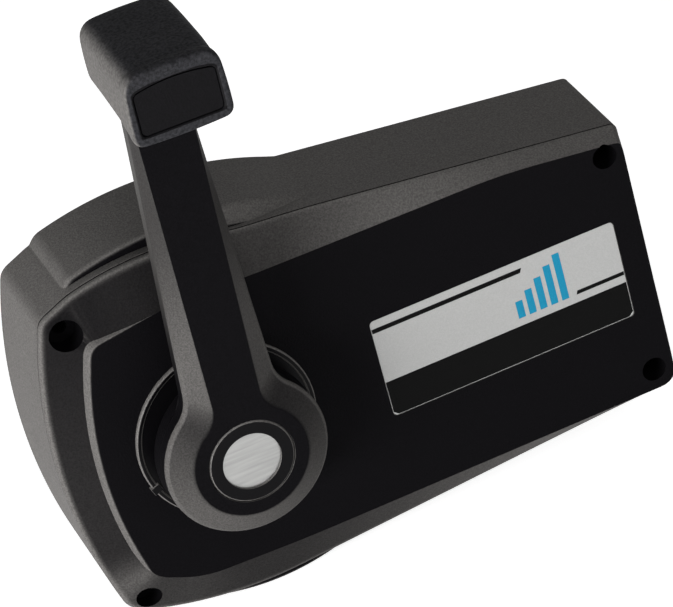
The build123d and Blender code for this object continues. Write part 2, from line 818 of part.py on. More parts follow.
def riveted_pin(place, tip, root, head_out):
    """Pin riveted in a plate: shank from tip to root, and a low head in front of the root."""
    with BuildSketch(layer(tip)) as shank:
        with Locations(place):
            Circle(pin_radius)
    extrude(shank.sketch, amount=root - tip)
    with BuildSketch(layer(root)) as rivet_head:
        with Locations(place):
            Circle(pin_radius + 1)
    extrude(rivet_head.sketch, amount=head_out)


throttle_pin_tip = throttle_swivel_foot - clip_thickness - 0.7
throttle_clip_foot = throttle_swivel_foot - clip_thickness - 0.2

with BuildPart() as throttle_pin:
    riveted_pin(throttle_point, throttle_pin_tip, crank_top, 1.0)
    with BuildSketch(layer(throttle_clip_foot)):
        with Locations(throttle_point):
            ring(pin_radius + 1, pin_radius - clip_depth)
    extrude(amount=clip_thickness, mode=Mode.SUBTRACT)
throttle_pin.part.label = "throttle_pin"
export_step(throttle_pin.part, "parts/throttle_pin.step")

with BuildPart() as throttle_clip:
    with BuildSketch(layer(throttle_clip_foot)):
        with Locations(throttle_point):
            ring(pin_radius + clip_width, pin_radius - clip_depth)
    extrude(amount=clip_thickness)
throttle_clip.part.label = "throttle_clip"
export_step(throttle_clip.part, "parts/throttle_clip.step")


def swivel(place, foot):
    """Barrel on a pin, with a stem that a cable rod screws into."""
    middle = foot + swivel_thickness / 2
    with BuildSketch(layer(foot)) as barrel:
        with Locations(place):
            Circle(swivel_radius)
    extrude(barrel.sketch, amount=swivel_thickness)
    with BuildSketch(Plane.YZ.offset(place[0])) as stem:
        with Locations((-middle, place[1])):
            Circle(swivel_thickness / 2 - 0.05)
    extrude(stem.sketch, amount=swivel_stem_length)
    with BuildSketch(layer(foot)) as pin_hole:
        with Locations(place):
            Circle(pin_radius + running_gap)
    extrude(pin_hole.sketch, amount=swivel_thickness, mode=Mode.SUBTRACT)
    with BuildSketch(Plane.YZ.offset(place[0] + swivel_stem_length)) as rod_hole:
        with Locations((-middle, place[1])):
            Circle(rod_thread_radius)
    extrude(rod_hole.sketch, amount=-rod_thread_length, mode=Mode.SUBTRACT)


with BuildPart() as throttle_swivel:
    swivel(throttle_point, throttle_swivel_foot)
throttle_swivel.part.label = "throttle_swivel"
export_step(throttle_swivel.part, "parts/throttle_swivel.step")

# ---- shift side -----------------------------------------------------------------------------
stud_journal_top = gear_foot + gear_thickness + 0.6

with BuildPart() as shift_stud:
    with BuildSketch(layer(plate_thickness)):
        with Locations(shift_pivot):
            Circle(stud_spigot_radius)
    extrude(amount=-(plate_thickness - 0.5))
    with BuildSketch(layer(plate_thickness)):
        with Locations(shift_pivot):
            Circle(stud_flange_radius)
    extrude(amount=stud_flange_thickness)
    with BuildSketch(layer(plate_thickness)):
        with Locations(shift_pivot):
            Circle(shift_stud_radius)
    extrude(amount=stud_journal_top + clip_thickness + 0.7 - plate_thickness)
    with BuildSketch(layer(stud_journal_top)):
        with Locations(shift_pivot):
            ring(shift_stud_radius + 1, shift_stud_radius - clip_depth)
    extrude(amount=clip_thickness, mode=Mode.SUBTRACT)
shift_stud.part.label = "shift_stud"
export_step(shift_stud.part, "parts/shift_stud.step")

with BuildPart() as shift_clip:
    with BuildSketch(layer(stud_journal_top)):
        with Locations(shift_pivot):
            ring(shift_stud_radius + clip_width, shift_stud_radius - clip_depth)
    extrude(amount=clip_thickness)
shift_clip.part.label = "shift_clip"
export_step(shift_clip.part, "parts/shift_clip.step")

bush_low = plate_thickness + stud_flange_thickness + thrust_gap

with BuildPart() as shift_bush:
    with BuildSketch(layer(bush_low)):
        with Locations(shift_pivot):
            ring(shift_bush_radius, shift_stud_radius + running_gap)
    extrude(amount=stud_journal_top - thrust_gap - bush_low)
shift_bush.part.label = "shift_bush"
export_step(shift_bush.part, "parts/shift_bush.step")

with BuildPart() as shift_sector:
    sector_root = tooth_module * (shift_teeth / 2 - 1.25)
    sector_half_angle = sector_teeth * 180 / shift_teeth
    with BuildSketch(layer(gear_foot)):
        with Locations(shift_pivot):
            Circle(sector_hub_radius)
        # toothed rim and the web that carries it, facing the drive gear
        with BuildSketch(mode=Mode.PRIVATE) as toothed_rim:
            with BuildLine():
                Line((0, 0), polar(sector_root, 180 - sector_half_angle))
                ThreePointArc(
                    polar(sector_root, 180 - sector_half_angle),
                    (-sector_root, 0),
                    polar(sector_root, 180 + sector_half_angle),
                )
                Line(polar(sector_root, 180 + sector_half_angle), (0, 0))
            make_face()
            for count in range(sector_teeth):
                tooth(shift_teeth, 180 + (count - sector_teeth / 2 + 0.5) * 360 / shift_teeth)
        with Locations(shift_pivot):
            add(toothed_rim.sketch)
        with Locations(shift_pivot):
            Circle(shift_bush_radius, mode=Mode.SUBTRACT)
    extrude(amount=gear_thickness)
shift_sector.part.label = "shift_sector"
export_step(shift_sector.part, "parts/shift_sector.step")

with BuildPart() as shift_arm:
    with BuildSketch(layer(shift_arm_foot)):
        with Locations(shift_pivot):
            Circle(sector_hub_radius)
        with Locations(shift_point):
            Circle(arm_tip_radius)
        make_hull()
        with Locations(shift_pivot):
            Circle(shift_bush_radius, mode=Mode.SUBTRACT)
        with Locations(shift_point):
            Circle(pin_radius, mode=Mode.SUBTRACT)
    extrude(amount=lever_plate_thickness)
shift_arm.part.label = "shift_arm"
export_step(shift_arm.part, "parts/shift_arm.step")

with BuildPart() as arm_spacer:
    with BuildSketch(layer(shift_arm_foot + lever_plate_thickness)):
        with Locations(shift_pivot):
            ring(sector_hub_radius, shift_bush_radius)
    extrude(amount=gear_foot - shift_arm_foot - lever_plate_thickness)
arm_spacer.part.label = "arm_spacer"
export_step(arm_spacer.part, "parts/arm_spacer.step")

shift_clip_foot = shift_swivel_foot - clip_thickness - 0.2

with BuildPart() as shift_pin:
    shift_pin_tip = shift_swivel_foot - clip_thickness - 0.7
    riveted_pin(shift_point, shift_pin_tip, shift_arm_foot + lever_plate_thickness, 0.6)
    with BuildSketch(layer(shift_clip_foot)):
        with Locations(shift_point):
            ring(pin_radius + 1, pin_radius - clip_depth)
    extrude(amount=clip_thickness, mode=Mode.SUBTRACT)
shift_pin.part.label = "shift_pin"
export_step(shift_pin.part, "parts/shift_pin.step")

with BuildPart() as shift_pin_clip:
    with BuildSketch(layer(shift_clip_foot)):
        with Locations(shift_point):
            ring(pin_radius + clip_width, pin_radius - clip_depth)
    extrude(amount=clip_thickness)
shift_pin_clip.part.label = "shift_pin_clip"
export_step(shift_pin_clip.part, "parts/shift_pin_clip.step")

with BuildPart() as shift_swivel:
    swivel(shift_point, shift_swivel_foot)
shift_swivel.part.label = "shift_swivel"
export_step(shift_swivel.part, "parts/shift_swivel.step")

# ---- detent ---------------------------------------------------------------------------------
roller_foot = crank_foot + 0.2
roller_thickness = lever_plate_thickness - 0.4

with BuildPart() as detent_arm:
    with BuildSketch(layer(detent_arm_foot)):
        with Locations(detent_pivot_point):
            Circle(detent_head_radius)
        with Locations(roller_point):
            Circle(roller_radius)
        make_hull()
        with Locations(detent_pivot_point):
            Circle(detent_pivot_radius + running_gap, mode=Mode.SUBTRACT)
        with Locations(roller_point):
            Circle(roller_pin_radius, mode=Mode.SUBTRACT)
    extrude(amount=detent_arm_thickness)
detent_arm.part.label = "detent_arm"
export_step(detent_arm.part, "parts/detent_arm.step")

with BuildPart() as detent_pivot_pin:
    with BuildSketch(layer(detent_arm_foot - 0.2)):
        with Locations(detent_pivot_point):
            Circle(detent_pivot_radius + 1.5)
    extrude(amount=-1.2)
    with BuildSketch(layer(detent_arm_foot - 0.2)):
        with Locations(detent_pivot_point):
            Circle(detent_pivot_radius)
    extrude(amount=0.2 + detent_arm_thickness + detent_pin_depth - 0.3)
detent_pivot_pin.part.label = "detent_pivot_pin"
export_step(detent_pivot_pin.part, "parts/detent_pivot_pin.step")

with BuildPart() as roller_pin:
    with BuildSketch(layer(detent_arm_foot)):
        with Locations(roller_point):
            Circle(roller_pin_radius)
    extrude(amount=roller_foot + roller_thickness + 0.5 - detent_arm_foot)
    with BuildSketch(layer(roller_foot + roller_thickness + 0.2)):
        with Locations(roller_point):
            Circle(roller_pin_radius + 1)
    extrude(amount=0.8)
roller_pin.part.label = "roller_pin"
export_step(roller_pin.part, "parts/roller_pin.step")

with BuildPart() as detent_roller:
    with BuildSketch(layer(roller_foot)):
        with Locations(roller_point):
            ring(roller_radius, roller_pin_radius + running_gap)
    extrude(amount=roller_thickness)
detent_roller.part.label = "detent_roller"
export_step(detent_roller.part, "parts/detent_roller.step")

spring_left = detent_seat_left + detent_seat_thickness + detent_wire_radius
spring_length = roller_point[0] - roller_radius - detent_wire_radius - spring_left - 0.2

with BuildPart() as detent_spring:
    with BuildLine() as detent_helix:
        Helix(
            spring_length / 6,
            spring_length,
            detent_coil_radius - detent_wire_radius,
            center=(spring_left, -(detent_arm_foot + detent_arm_thickness / 2), roller_point[1]),
            direction=(1, 0, 0),
        )
    with BuildSketch(Plane(origin=detent_helix.line @ 0, z_dir=detent_helix.line % 0)):
        Circle(detent_wire_radius)
    sweep(path=detent_helix.line)
detent_spring.part.label = "detent_spring"
export_step(detent_spring.part, "parts/detent_spring.step")

# ---- lever ----------------------------------------------------------------------------------
with BuildPart() as lever_arm:
    with BuildSketch(lever_layer(plateau_height + hub_foot)):
        Circle(hub_neck_radius)
    extrude(amount=hub_neck_top - hub_foot)
    with BuildSketch(lever_layer(plateau_height + hub_neck_top)):
        Circle(hub_rim_radius)
    extrude(amount=hub_rim_top - hub_neck_top)
    with BuildSketch(lever_layer(plateau_height + arm_back)):
        lever_outline(hub_rim_radius, arm_root_half, arm_tip_half)
    extrude(amount=hub_rim_top - arm_back)
    with BuildSketch(lever_layer(plateau_height + hub_rim_top)):
        lever_outline(hub_rim_radius, arm_root_half, arm_tip_half)
    with BuildSketch(lever_layer(plateau_height + hub_face)):
        lever_outline(hub_face_radius, arm_face_root_half, arm_face_tip_half)
    loft(ruled=True)
    # tang inside the grip
    with BuildSketch(lever_layer(plateau_height + tang_foot)):
        with Locations((0, (arm_tip_z + tang_top_z) / 2)):
            Rectangle(2 * tang_half_width, tang_top_z - arm_tip_z)
    extrude(amount=tang_thickness)
    # recess for the button, hexagon for the shaft, room for the bush
    with BuildSketch(lever_layer(hub_seat)):
        Circle(hub_recess_radius)
    extrude(amount=hub_face, mode=Mode.SUBTRACT)
    with BuildSketch(lever_layer(plateau_height)):
        RegularPolygon(shaft_hex / 2 + running_gap, 6, major_radius=False)
    extrude(amount=hub_floor + 1, mode=Mode.SUBTRACT)
    with BuildSketch(lever_layer(plateau_height)):
        Circle(main_bush_radius + seat_gap)
    extrude(amount=hex_foot - plateau_height, mode=Mode.SUBTRACT)
    # seat of the strip behind the arm, and the hollow under it
    arm_cover_mid_z = (arm_cover_low_z + arm_cover_high_z) / 2
    arm_cover_length = arm_cover_high_z - arm_cover_low_z
    arm_cover_width = 2 * (arm_tip_half - arm_cover_inset)
    with BuildSketch(lever_layer(plateau_height + arm_back)):
        with Locations((0, arm_cover_mid_z)):
            RectangleRounded(arm_cover_width, arm_cover_length, 3)
    extrude(amount=arm_cover_thickness, mode=Mode.SUBTRACT)
    with BuildSketch(lever_layer(plateau_height + arm_back + arm_cover_thickness)):
        with Locations((0, arm_cover_mid_z)):
            RectangleRounded(
                arm_cover_width - 2 * arm_hollow_wall, arm_cover_length - 6 * arm_hollow_wall, 2
            )
    extrude(amount=arm_hollow_depth, mode=Mode.SUBTRACT)
    arm_screw_points = [
        (0, arm_cover_low_z + 1.5 * arm_hollow_wall), (0, arm_cover_high_z - 1.5 * arm_hollow_wall)
    ]
    with BuildSketch(lever_layer(plateau_height + arm_back)):
        with Locations(*arm_screw_points):
            Circle(small_screw_radius + running_gap)
    extrude(amount=arm_hollow_depth, mode=Mode.SUBTRACT)
    # hole for the grip screw
    with BuildSketch(lever_layer(plateau_height + tang_foot)):
        with Locations((0, grip_screw_z)):
            Circle(grip_screw_radius + running_gap)
    extrude(amount=tang_thickness, mode=Mode.SUBTRACT)
lever_arm.part.label = "lever_arm"
export_step(lever_arm.part, "parts/lever_arm.step")

with BuildPart() as arm_back_cover:
    with BuildSketch(lever_layer(plateau_height + arm_back)):
        with Locations((0, arm_cover_mid_z)):
            RectangleRounded(
                arm_cover_width - 2 * label_gap, arm_cover_length - 2 * label_gap, 3 - label_gap
            )
        with Locations(*arm_screw_points):
            Circle(small_screw_radius + running_gap, mode=Mode.SUBTRACT)
    extrude(amount=arm_cover_thickness)
    with BuildSketch(lever_layer(plateau_height + arm_back)):
        with Locations(*arm_screw_points):
            Circle(small_head_radius + running_gap)
    extrude(amount=arm_cover_thickness / 2, mode=Mode.SUBTRACT)
arm_back_cover.part.label = "arm_back_cover"
export_step(arm_back_cover.part, "parts/arm_back_cover.step")

with BuildPart() as arm_cover_screws:
    with BuildSketch(lever_layer(plateau_height + arm_back)):
        with Locations(*arm_screw_points):
            Circle(small_head_radius)
    extrude(amount=arm_cover_thickness / 2)
    with BuildSketch(lever_layer(plateau_height + arm_back)):
        with Locations(*arm_screw_points):
            Circle(small_screw_radius)
    extrude(amount=arm_hollow_depth - 1)
arm_cover_screws.part.label = "arm_cover_screws"
export_step(arm_cover_screws.part, "parts/arm_cover_screws.step")

with BuildPart() as hub_washer:
    with BuildSketch(layer(hub_seat)):
        ring(nut_width / 2 + 2, thread_radius + running_gap)
    extrude(amount=washer_thickness)
hub_washer.part.label = "hub_washer"
export_step(hub_washer.part, "parts/hub_washer.step")

with BuildPart() as hub_nut:
    with BuildSketch(lever_layer(hub_seat + washer_thickness)):
        RegularPolygon(nut_width / 2, 6, major_radius=False)
        Circle(thread_radius, mode=Mode.SUBTRACT)
    extrude(amount=nut_height)
hub_nut.part.label = "hub_nut"
export_step(hub_nut.part, "parts/hub_nut.step")

# ---- button in the hub ----------------------------------------------------------------------
button_face = plateau_height + hub_face
button_foot = button_face - button_thickness

with BuildPart() as button_cap:
    with BuildSketch(lever_layer(button_foot)):
        Circle(hub_recess_radius - button_gap)
    extrude(amount=button_thickness)
    chamfer(edges().filter_by(GeomType.CIRCLE).group_by(Axis.Y)[0], 0.6)
    with BuildSketch(lever_layer(button_foot)):
        ring(hub_recess_radius - button_gap, hub_recess_radius - button_gap - button_skirt)
    extrude(amount=-button_skirt_depth)
    with BuildSketch(lever_layer(button_face - disc_sink - disc_thickness)):
        Circle(disc_radius + running_gap)
    extrude(amount=button_thickness, mode=Mode.SUBTRACT)
button_cap.part.label = "button_cap"
export_step(button_cap.part, "parts/button_cap.step")

with BuildPart() as button_disc:
    with BuildSketch(lever_layer(button_face - disc_sink - disc_thickness)):
        Circle(disc_radius)
    extrude(amount=disc_thickness)
button_disc.part.label = "button_disc"
export_step(button_disc.part, "parts/button_disc.step")

with BuildPart() as push_rod:
    with BuildSketch(layer(rod_end_height)):
        Circle(rod_bore_radius - rod_gap)
    extrude(amount=button_foot - rod_end_height)
push_rod.part.label = "push_rod"
export_step(push_rod.part, "parts/push_rod.step")

spring_height = button_foot - hub_seat - 2 * spring_wire_radius - 0.2

with BuildPart() as button_spring:
    with BuildLine() as button_helix:
        Helix(
            spring_height / spring_turns,
            spring_height,
            spring_mean_radius,
            center=(0, -(hub_seat + spring_wire_radius + 0.1), 0),
            direction=(0, -1, 0),
        )
    with BuildSketch(Plane(origin=button_helix.line @ 0, z_dir=button_helix.line % 0)):
        Circle(spring_wire_radius)
    sweep(path=button_helix.line)
button_spring.part.label = "button_spring"
export_step(button_spring.part, "parts/button_spring.step")

# ---- grip -----------------------------------------------------------------------------------
grip_back_height = plateau_height + grip_back
grip_front_height = plateau_height + grip_front
grip_lip_height = plateau_height + grip_lip_start

with BuildPart() as grip:
    # the same body seen from the side, from above and from the front
    with BuildSketch(lever_side):
        with BuildLine():
            Polyline(
                (grip_back_height, grip_bottom_z),
                (grip_lip_height, grip_lip_top_z),
                (grip_front_height - grip_edge, grip_lip_z),
                (grip_front_height, grip_lip_z),
                (grip_front_height, grip_front_top_z),
                (grip_back_height, grip_top_z),
                (grip_back_height, grip_bottom_z),
            )
        make_face()
        fillet(near(vertices(), [(grip_lip_height, grip_lip_top_z)]), 2 * grip_edge)
        fillet(near(vertices(), [(grip_front_height - grip_edge, grip_lip_z)]), grip_lip_edge)
        fillet(near(vertices(), [(grip_front_height, grip_lip_z)]), grip_lip_edge / 2)
        fillet(near(vertices(), [(grip_front_height, grip_front_top_z)]), grip_edge)
        fillet(near(vertices(), [(grip_back_height, grip_top_z)]), grip_edge)
        fillet(near(vertices(), [(grip_back_height, grip_bottom_z)]), grip_lip_edge)
    extrude(amount=grip_low_half + 1, both=True)
    with BuildSketch(lever_top):
        with BuildLine():
            Polyline(
                (-grip_low_half, -grip_back_height),
                (-grip_low_half, -grip_front_height),
                (grip_low_half, -grip_front_height),
                (grip_low_half, -grip_back_height),
                (-grip_low_half, -grip_back_height),
            )
        make_face()
        back_corners = [(-grip_low_half, -grip_back_height), (grip_low_half, -grip_back_height)]
        front_corners = [(-grip_low_half, -grip_front_height), (grip_low_half, -grip_front_height)]
        fillet(near(vertices(), back_corners), grip_back_corner)
        fillet(near(vertices(), front_corners), grip_front_corner)
    extrude(amount=2 * grip_top_z, mode=Mode.INTERSECT)
    with BuildSketch(lever_layer(grip_back_height - 1)):
        with BuildLine():
            Polyline(
                (-grip_top_half, grip_top_z - grip_crown),
                (-grip_low_half, grip_lip_z - 1),
                (grip_low_half, grip_lip_z - 1),
                (grip_top_half, grip_top_z - grip_crown),
            )
            ThreePointArc(
                (grip_top_half, grip_top_z - grip_crown),
                (0, grip_top_z),
                (-grip_top_half, grip_top_z - grip_crown),
            )
        make_face()
        crown_ends = [(-grip_top_half, grip_top_z - grip_crown), (grip_top_half, grip_top_z - grip_crown)]
        fillet(near(vertices(), crown_ends), grip_edge)
        low_corners = [(-grip_low_half, grip_lip_z - 1), (grip_low_half, grip_lip_z - 1)]
        fillet(near(vertices(), low_corners), grip_lip_edge)
    extrude(amount=grip_front_height, mode=Mode.INTERSECT)
    # recess for the pad on the front
    with BuildSketch(lever_layer(grip_front_height)):
        pad_outline(0)
    extrude(amount=-(pad_thickness + pad_sink), mode=Mode.SUBTRACT)
    # pocket for the tang and the hole for its screw, from behind
    with BuildSketch(lever_layer(plateau_height + tang_foot - tang_gap)):
        with Locations((0, (grip_lip_z + tang_top_z) / 2)):
            Rectangle(2 * (tang_half_width + tang_gap), tang_top_z - grip_lip_z + 2 * tang_gap)
    extrude(amount=tang_thickness + 2 * tang_gap, mode=Mode.SUBTRACT)
    with BuildSketch(lever_layer(grip_back_height)):
        with Locations((0, grip_screw_z)):
            Circle(grip_screw_head_radius + running_gap)
    extrude(amount=grip_screw_head_height + 0.5, mode=Mode.SUBTRACT)
    with BuildSketch(lever_layer(grip_back_height)):
        with Locations((0, grip_screw_z)):
            Circle(grip_screw_radius + running_gap)
    extrude(amount=grip_screw_length, mode=Mode.SUBTRACT)
grip.part.label = "grip"
export_step(grip.part, "parts/grip.step")

with BuildPart() as grip_pad:
    with BuildSketch(lever_layer(grip_front_height - pad_thickness - pad_sink)):
        pad_outline(pad_gap)
    extrude(amount=pad_thickness)
grip_pad.part.label = "grip_pad"
export_step(grip_pad.part, "parts/grip_pad.step")

with BuildPart() as grip_screw:
    with BuildSketch(lever_layer(grip_back_height + 0.5)):
        with Locations((0, grip_screw_z)):
            Circle(grip_screw_head_radius)
    extrude(amount=grip_screw_head_height)
    with BuildSketch(lever_layer(grip_back_height + 0.5)):
        with Locations((0, grip_screw_z)):
            Circle(grip_screw_radius)
    extrude(amount=grip_screw_length - 1)
grip_screw.part.label = "grip_screw"
export_step(grip_screw.part, "parts/grip_screw.step")


# ---- cable clamps and outlets ---------------------------------------------------------------
clamp_middle_x = clamp_left + clamp_length / 2


def clamp_screw_points(line_z):
    return [(clamp_middle_x, line_z - clamp_screw_spread), (clamp_middle_x, line_z + clamp_screw_spread)]


def clamp_block(foot, thickness, line_z, line_height):
    """Half of a cable clamp, with its half-round groove and the holes for two screws."""
    with BuildSketch(layer(foot)) as block:
        with Locations((clamp_middle_x, line_z)):
            Rectangle(clamp_length, 2 * clamp_half_width)
        with Locations(*clamp_screw_points(line_z)):
            Circle(small_screw_radius + running_gap, mode=Mode.SUBTRACT)
    extrude(block.sketch, amount=thickness)
    with BuildSketch(Plane.YZ.offset(clamp_left)) as groove:
        with Locations((-line_height, line_z)):
            Circle(clamp_cable_radius)
    extrude(groove.sketch, amount=clamp_length, mode=Mode.SUBTRACT)


def clamp_plate_top(line_height):
    return line_height + clamp_cable_radius + clamp_plate_thickness


with BuildPart() as throttle_clamp_base:
    clamp_block(
        plate_thickness,
        throttle_line_height - clamp_gap / 2 - plate_thickness,
        throttle_line_z,
        throttle_line_height,
    )
throttle_clamp_base.part.label = "throttle_clamp_base"
export_step(throttle_clamp_base.part, "parts/throttle_clamp_base.step")

with BuildPart() as throttle_clamp_plate:
    clamp_block(
        throttle_line_height + clamp_gap / 2,
        clamp_cable_radius + clamp_plate_thickness - clamp_gap / 2,
        throttle_line_z,
        throttle_line_height,
    )
throttle_clamp_plate.part.label = "throttle_clamp_plate"
export_step(throttle_clamp_plate.part, "parts/throttle_clamp_plate.step")

with BuildPart() as shift_clamp_base:
    clamp_block(
        plate_thickness,
        shift_line_height - clamp_gap / 2 - plate_thickness,
        shift_line_z,
        shift_line_height,
    )
shift_clamp_base.part.label = "shift_clamp_base"
export_step(shift_clamp_base.part, "parts/shift_clamp_base.step")

with BuildPart() as shift_clamp_plate:
    clamp_block(
        shift_line_height + clamp_gap / 2,
        clamp_cable_radius + clamp_plate_thickness - clamp_gap / 2,
        shift_line_z,
        shift_line_height,
    )
shift_clamp_plate.part.label = "shift_clamp_plate"
export_step(shift_clamp_plate.part, "parts/shift_clamp_plate.step")

with BuildPart() as clamp_screws:
    for line_z, line_height in (
        (throttle_line_z, throttle_line_height), (shift_line_z, shift_line_height)
    ):
        with BuildSketch(layer(clamp_plate_top(line_height))):
            with Locations(*clamp_screw_points(line_z)):
                Circle(small_head_radius)
        extrude(amount=small_head_height)
        with BuildSketch(layer(plate_thickness)):
            with Locations(*clamp_screw_points(line_z)):
                Circle(small_screw_radius)
        extrude(amount=clamp_plate_top(line_height) - plate_thickness)
clamp_screws.part.label = "clamp_screws"
export_step(clamp_screws.part, "parts/clamp_screws.step")


def grommet(line_z, line_height):
    """Rubber sleeve in the end wall, with a lip on each side of it."""
    for start, length, radius in (
        (box_right - wall, wall, outlet_radius),
        (box_right, grommet_flange, outlet_radius + grommet_lip),
        (box_right - wall - grommet_flange, grommet_flange, outlet_radius + grommet_lip),
    ):
        with BuildSketch(Plane.YZ.offset(start)) as step:
            with Locations((-line_height, line_z)):
                ring(radius, grommet_bore_radius)
        extrude(step.sketch, amount=length)


with BuildPart() as throttle_grommet:
    grommet(throttle_line_z, throttle_line_height)
throttle_grommet.part.label = "throttle_grommet"
export_step(throttle_grommet.part, "parts/throttle_grommet.step")

with BuildPart() as shift_grommet:
    grommet(shift_line_z, shift_line_height)
shift_grommet.part.label = "shift_grommet"
export_step(shift_grommet.part, "parts/shift_grommet.step")
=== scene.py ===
from math import atan2, cos, pi, radians, sin, sqrt

import bmesh
import bpy
from bpy.props import FloatProperty, FloatVectorProperty, IntProperty, PointerProperty
from mathutils import Matrix, Vector


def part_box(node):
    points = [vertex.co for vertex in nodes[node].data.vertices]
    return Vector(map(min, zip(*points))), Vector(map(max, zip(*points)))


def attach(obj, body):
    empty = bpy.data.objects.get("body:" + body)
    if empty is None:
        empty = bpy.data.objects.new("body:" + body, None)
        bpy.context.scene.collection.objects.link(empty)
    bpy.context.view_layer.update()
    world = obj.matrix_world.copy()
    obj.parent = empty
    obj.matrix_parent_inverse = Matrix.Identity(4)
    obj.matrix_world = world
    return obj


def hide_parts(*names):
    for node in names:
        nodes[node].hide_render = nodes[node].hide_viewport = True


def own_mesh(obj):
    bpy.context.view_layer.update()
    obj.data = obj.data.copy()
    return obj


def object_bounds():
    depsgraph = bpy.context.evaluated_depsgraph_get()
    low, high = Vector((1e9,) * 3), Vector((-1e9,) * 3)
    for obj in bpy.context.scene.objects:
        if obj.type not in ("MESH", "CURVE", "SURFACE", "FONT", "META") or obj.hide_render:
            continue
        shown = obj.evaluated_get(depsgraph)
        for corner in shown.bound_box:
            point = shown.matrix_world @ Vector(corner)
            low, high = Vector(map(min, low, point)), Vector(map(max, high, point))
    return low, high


bl_info = {
    "name": "Boat control looks",
    "version": (1, 0, 0),
    "blender": (4, 5, 0),
    "location": "View3D > Sidebar > Boat control",
    "description": "Dresses the packed boat control: housing, lever, grip, label and mechanism",
    "category": "Object",
}

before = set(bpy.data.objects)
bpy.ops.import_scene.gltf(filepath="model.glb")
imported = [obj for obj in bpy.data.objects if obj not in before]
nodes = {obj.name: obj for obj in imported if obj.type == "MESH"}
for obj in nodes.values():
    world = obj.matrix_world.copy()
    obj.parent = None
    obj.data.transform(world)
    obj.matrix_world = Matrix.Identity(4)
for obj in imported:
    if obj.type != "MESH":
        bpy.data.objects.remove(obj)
cad_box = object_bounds()
MM = 0.001

# ---- sizes, in millimetres -----------------------------------
face_height = 54.0  # front face of the box, above the mounting face
lever_lean = radians(1.5)
hub_radius = 31.3
hub_face_radius = 21.9
hub_neck_radius = 27.0
hub_foot, hub_neck_top, arm_back, hub_rim_top, hub_face = 57.3, 64.0, 70.5, 77.2, 82.2
button_recess_radius, button_recess_floor = 16.6, 67.0
bush_room_radius, bush_room_floor = 11.4, 59.0
skirt_steps, corner_steps = 72, 6
arm_root_half, arm_tip_half = 17.6, 10.9
arm_face_root_half, arm_face_tip_half = 9.2, 10.9
arm_tip_z = 159.7
grip_back, grip_front = 62.5, 114.4
grip_middle = (0.0, 171.0)
grip_sections = [  # half widths at the top and below, top, underside, height
    (17.0, 17.4, 180.4, 157.8, grip_back), (17.1, 17.6, 180.6, 157.2, 80.0),
    (17.2, 17.9, 179.8, 155.6, 99.0), (17.0, 18.0, 179.3, 153.6, 105.0),
    (17.0, 18.1, 178.9, 153.3, 108.6), (17.3, 18.4, 179.3, 152.9, 110.0),
    (17.3, 18.4, 179.3, 152.9, grip_front),
]
grip_reaches = (5.5, 8.0, 3.0, 2.5, 1.2, 0.8, 3.2, 0.6, 0.3, 0.0)
grip_bows = (0.9, 0.5, 0.7, 0.5)
grip_corners = (6.0, 6.0, 4.0, 4.0)
grip_steps = (16, 12, 16, 12)
socket_half, socket_low, socket_high = 7.3, 150, 174.3  # where the arm's tip goes in
socket_back, socket_front = 72.2, 79.8
pad_half, pad_low, pad_high, pad_bow = 15.1, 156.6, 172.8, 1.9
pad_floor, pad_fit, pad_lip, pad_lip_depth = 112.8, 0.1, 0.7, 0.5
strip_half, strip_low, strip_high, strip_depth = 10.0, 42.0, 150.0, 2.2
wall = 3.0
parting, ledge_rim, slope_rim, step_foot = 45.0, 47.6, 45.7, 50.7
step_run = 1.3
rim_drop_x, rim_drop_z = (-7, 7), (-30, 10)  # where the rim comes down from the ledge
step_end_low, step_end_right = (-38, -56), (0, 8)  # where the step runs out
step_end_top_x, step_end_top_z = (-54, -14), (36, 62)
box_middle, barrel_middle = (60, 0), (5, 0)
right_end = 174.6
box_edge = [  # X, Z, reach of the rounded corner, bow of the edge that follows
    (-53.2, 65.9, 3.4, 0.0), (-40.5, 71.5, 3.0, 4.34), (24.0, 70.8, 6.0, 0.0),
    (52.0, 68.0, 8.0, 0.0), (right_end, 51.0, 2.4, 0.0), (right_end, -62.0, 13.0, 0.0),
    (18.0, -73.5, 8.0, 3.89), (-49.1, -64.5, 2.6, 0.0), (-53.7, -60.2, 2.6, 9.6),
]
box_steps = (4, 24, 8, 30, 20, 30, 24, 3, 40)
hollow_edge = [
    (-50.2, 63.4, 2.0, 0.0), (-39.6, 68.4, 2.0, 4.2), (23.7, 67.5, 2.0, 0.0),
    (51.6, 64.6, 2.0, 0.0), (171.6, 47.6, 2.0, 0.0), (171.6, -59.2, 5.0, 0.0),
    (18.0, -70.4, 2.0, 3.8), (-47.6, -61.2, 1.5, 0.0), (-50.1, -58.2, 1.5, 9.9),
]
plateau_edge = [
    (-42.0, -48.6, 6.0, 7.85), (-39.4, 52.6, 4.0, 0.0), (-4.0, 57.0, 3.0, 0.0),
    (24.0, 55.6, 9.0, 0.0), (52.0, 55.2, 9.0, 0.0), (125.0, 54.4, 14.0, 0.0),
    (172.4, 48.0, 3.0, 0.0), (172.4, -58.9, 7.0, 0.0), (18.0, -58.9, 12.0, 0.0),
    (-24.0, -57.2, 9.0, 0.0),
]
cover_hollow_edge = [
    (-39.0, -43.0, 1.0, 7.6), (-37.0, 47.6, 1.0, 0.0), (-4.0, 53.8, 1.0, 0.0),
    (24.0, 52.4, 1.0, 0.0), (52.0, 52.0, 1.0, 0.0), (125.0, 50.4, 1.0, 0.0),
    (169.2, 44.8, 1.0, 0.0), (169.2, -55.8, 1.0, 0.0), (18.0, -55.8, 1.0, 0.0),
    (-22.0, -54.0, 1.0, 0.0),
]
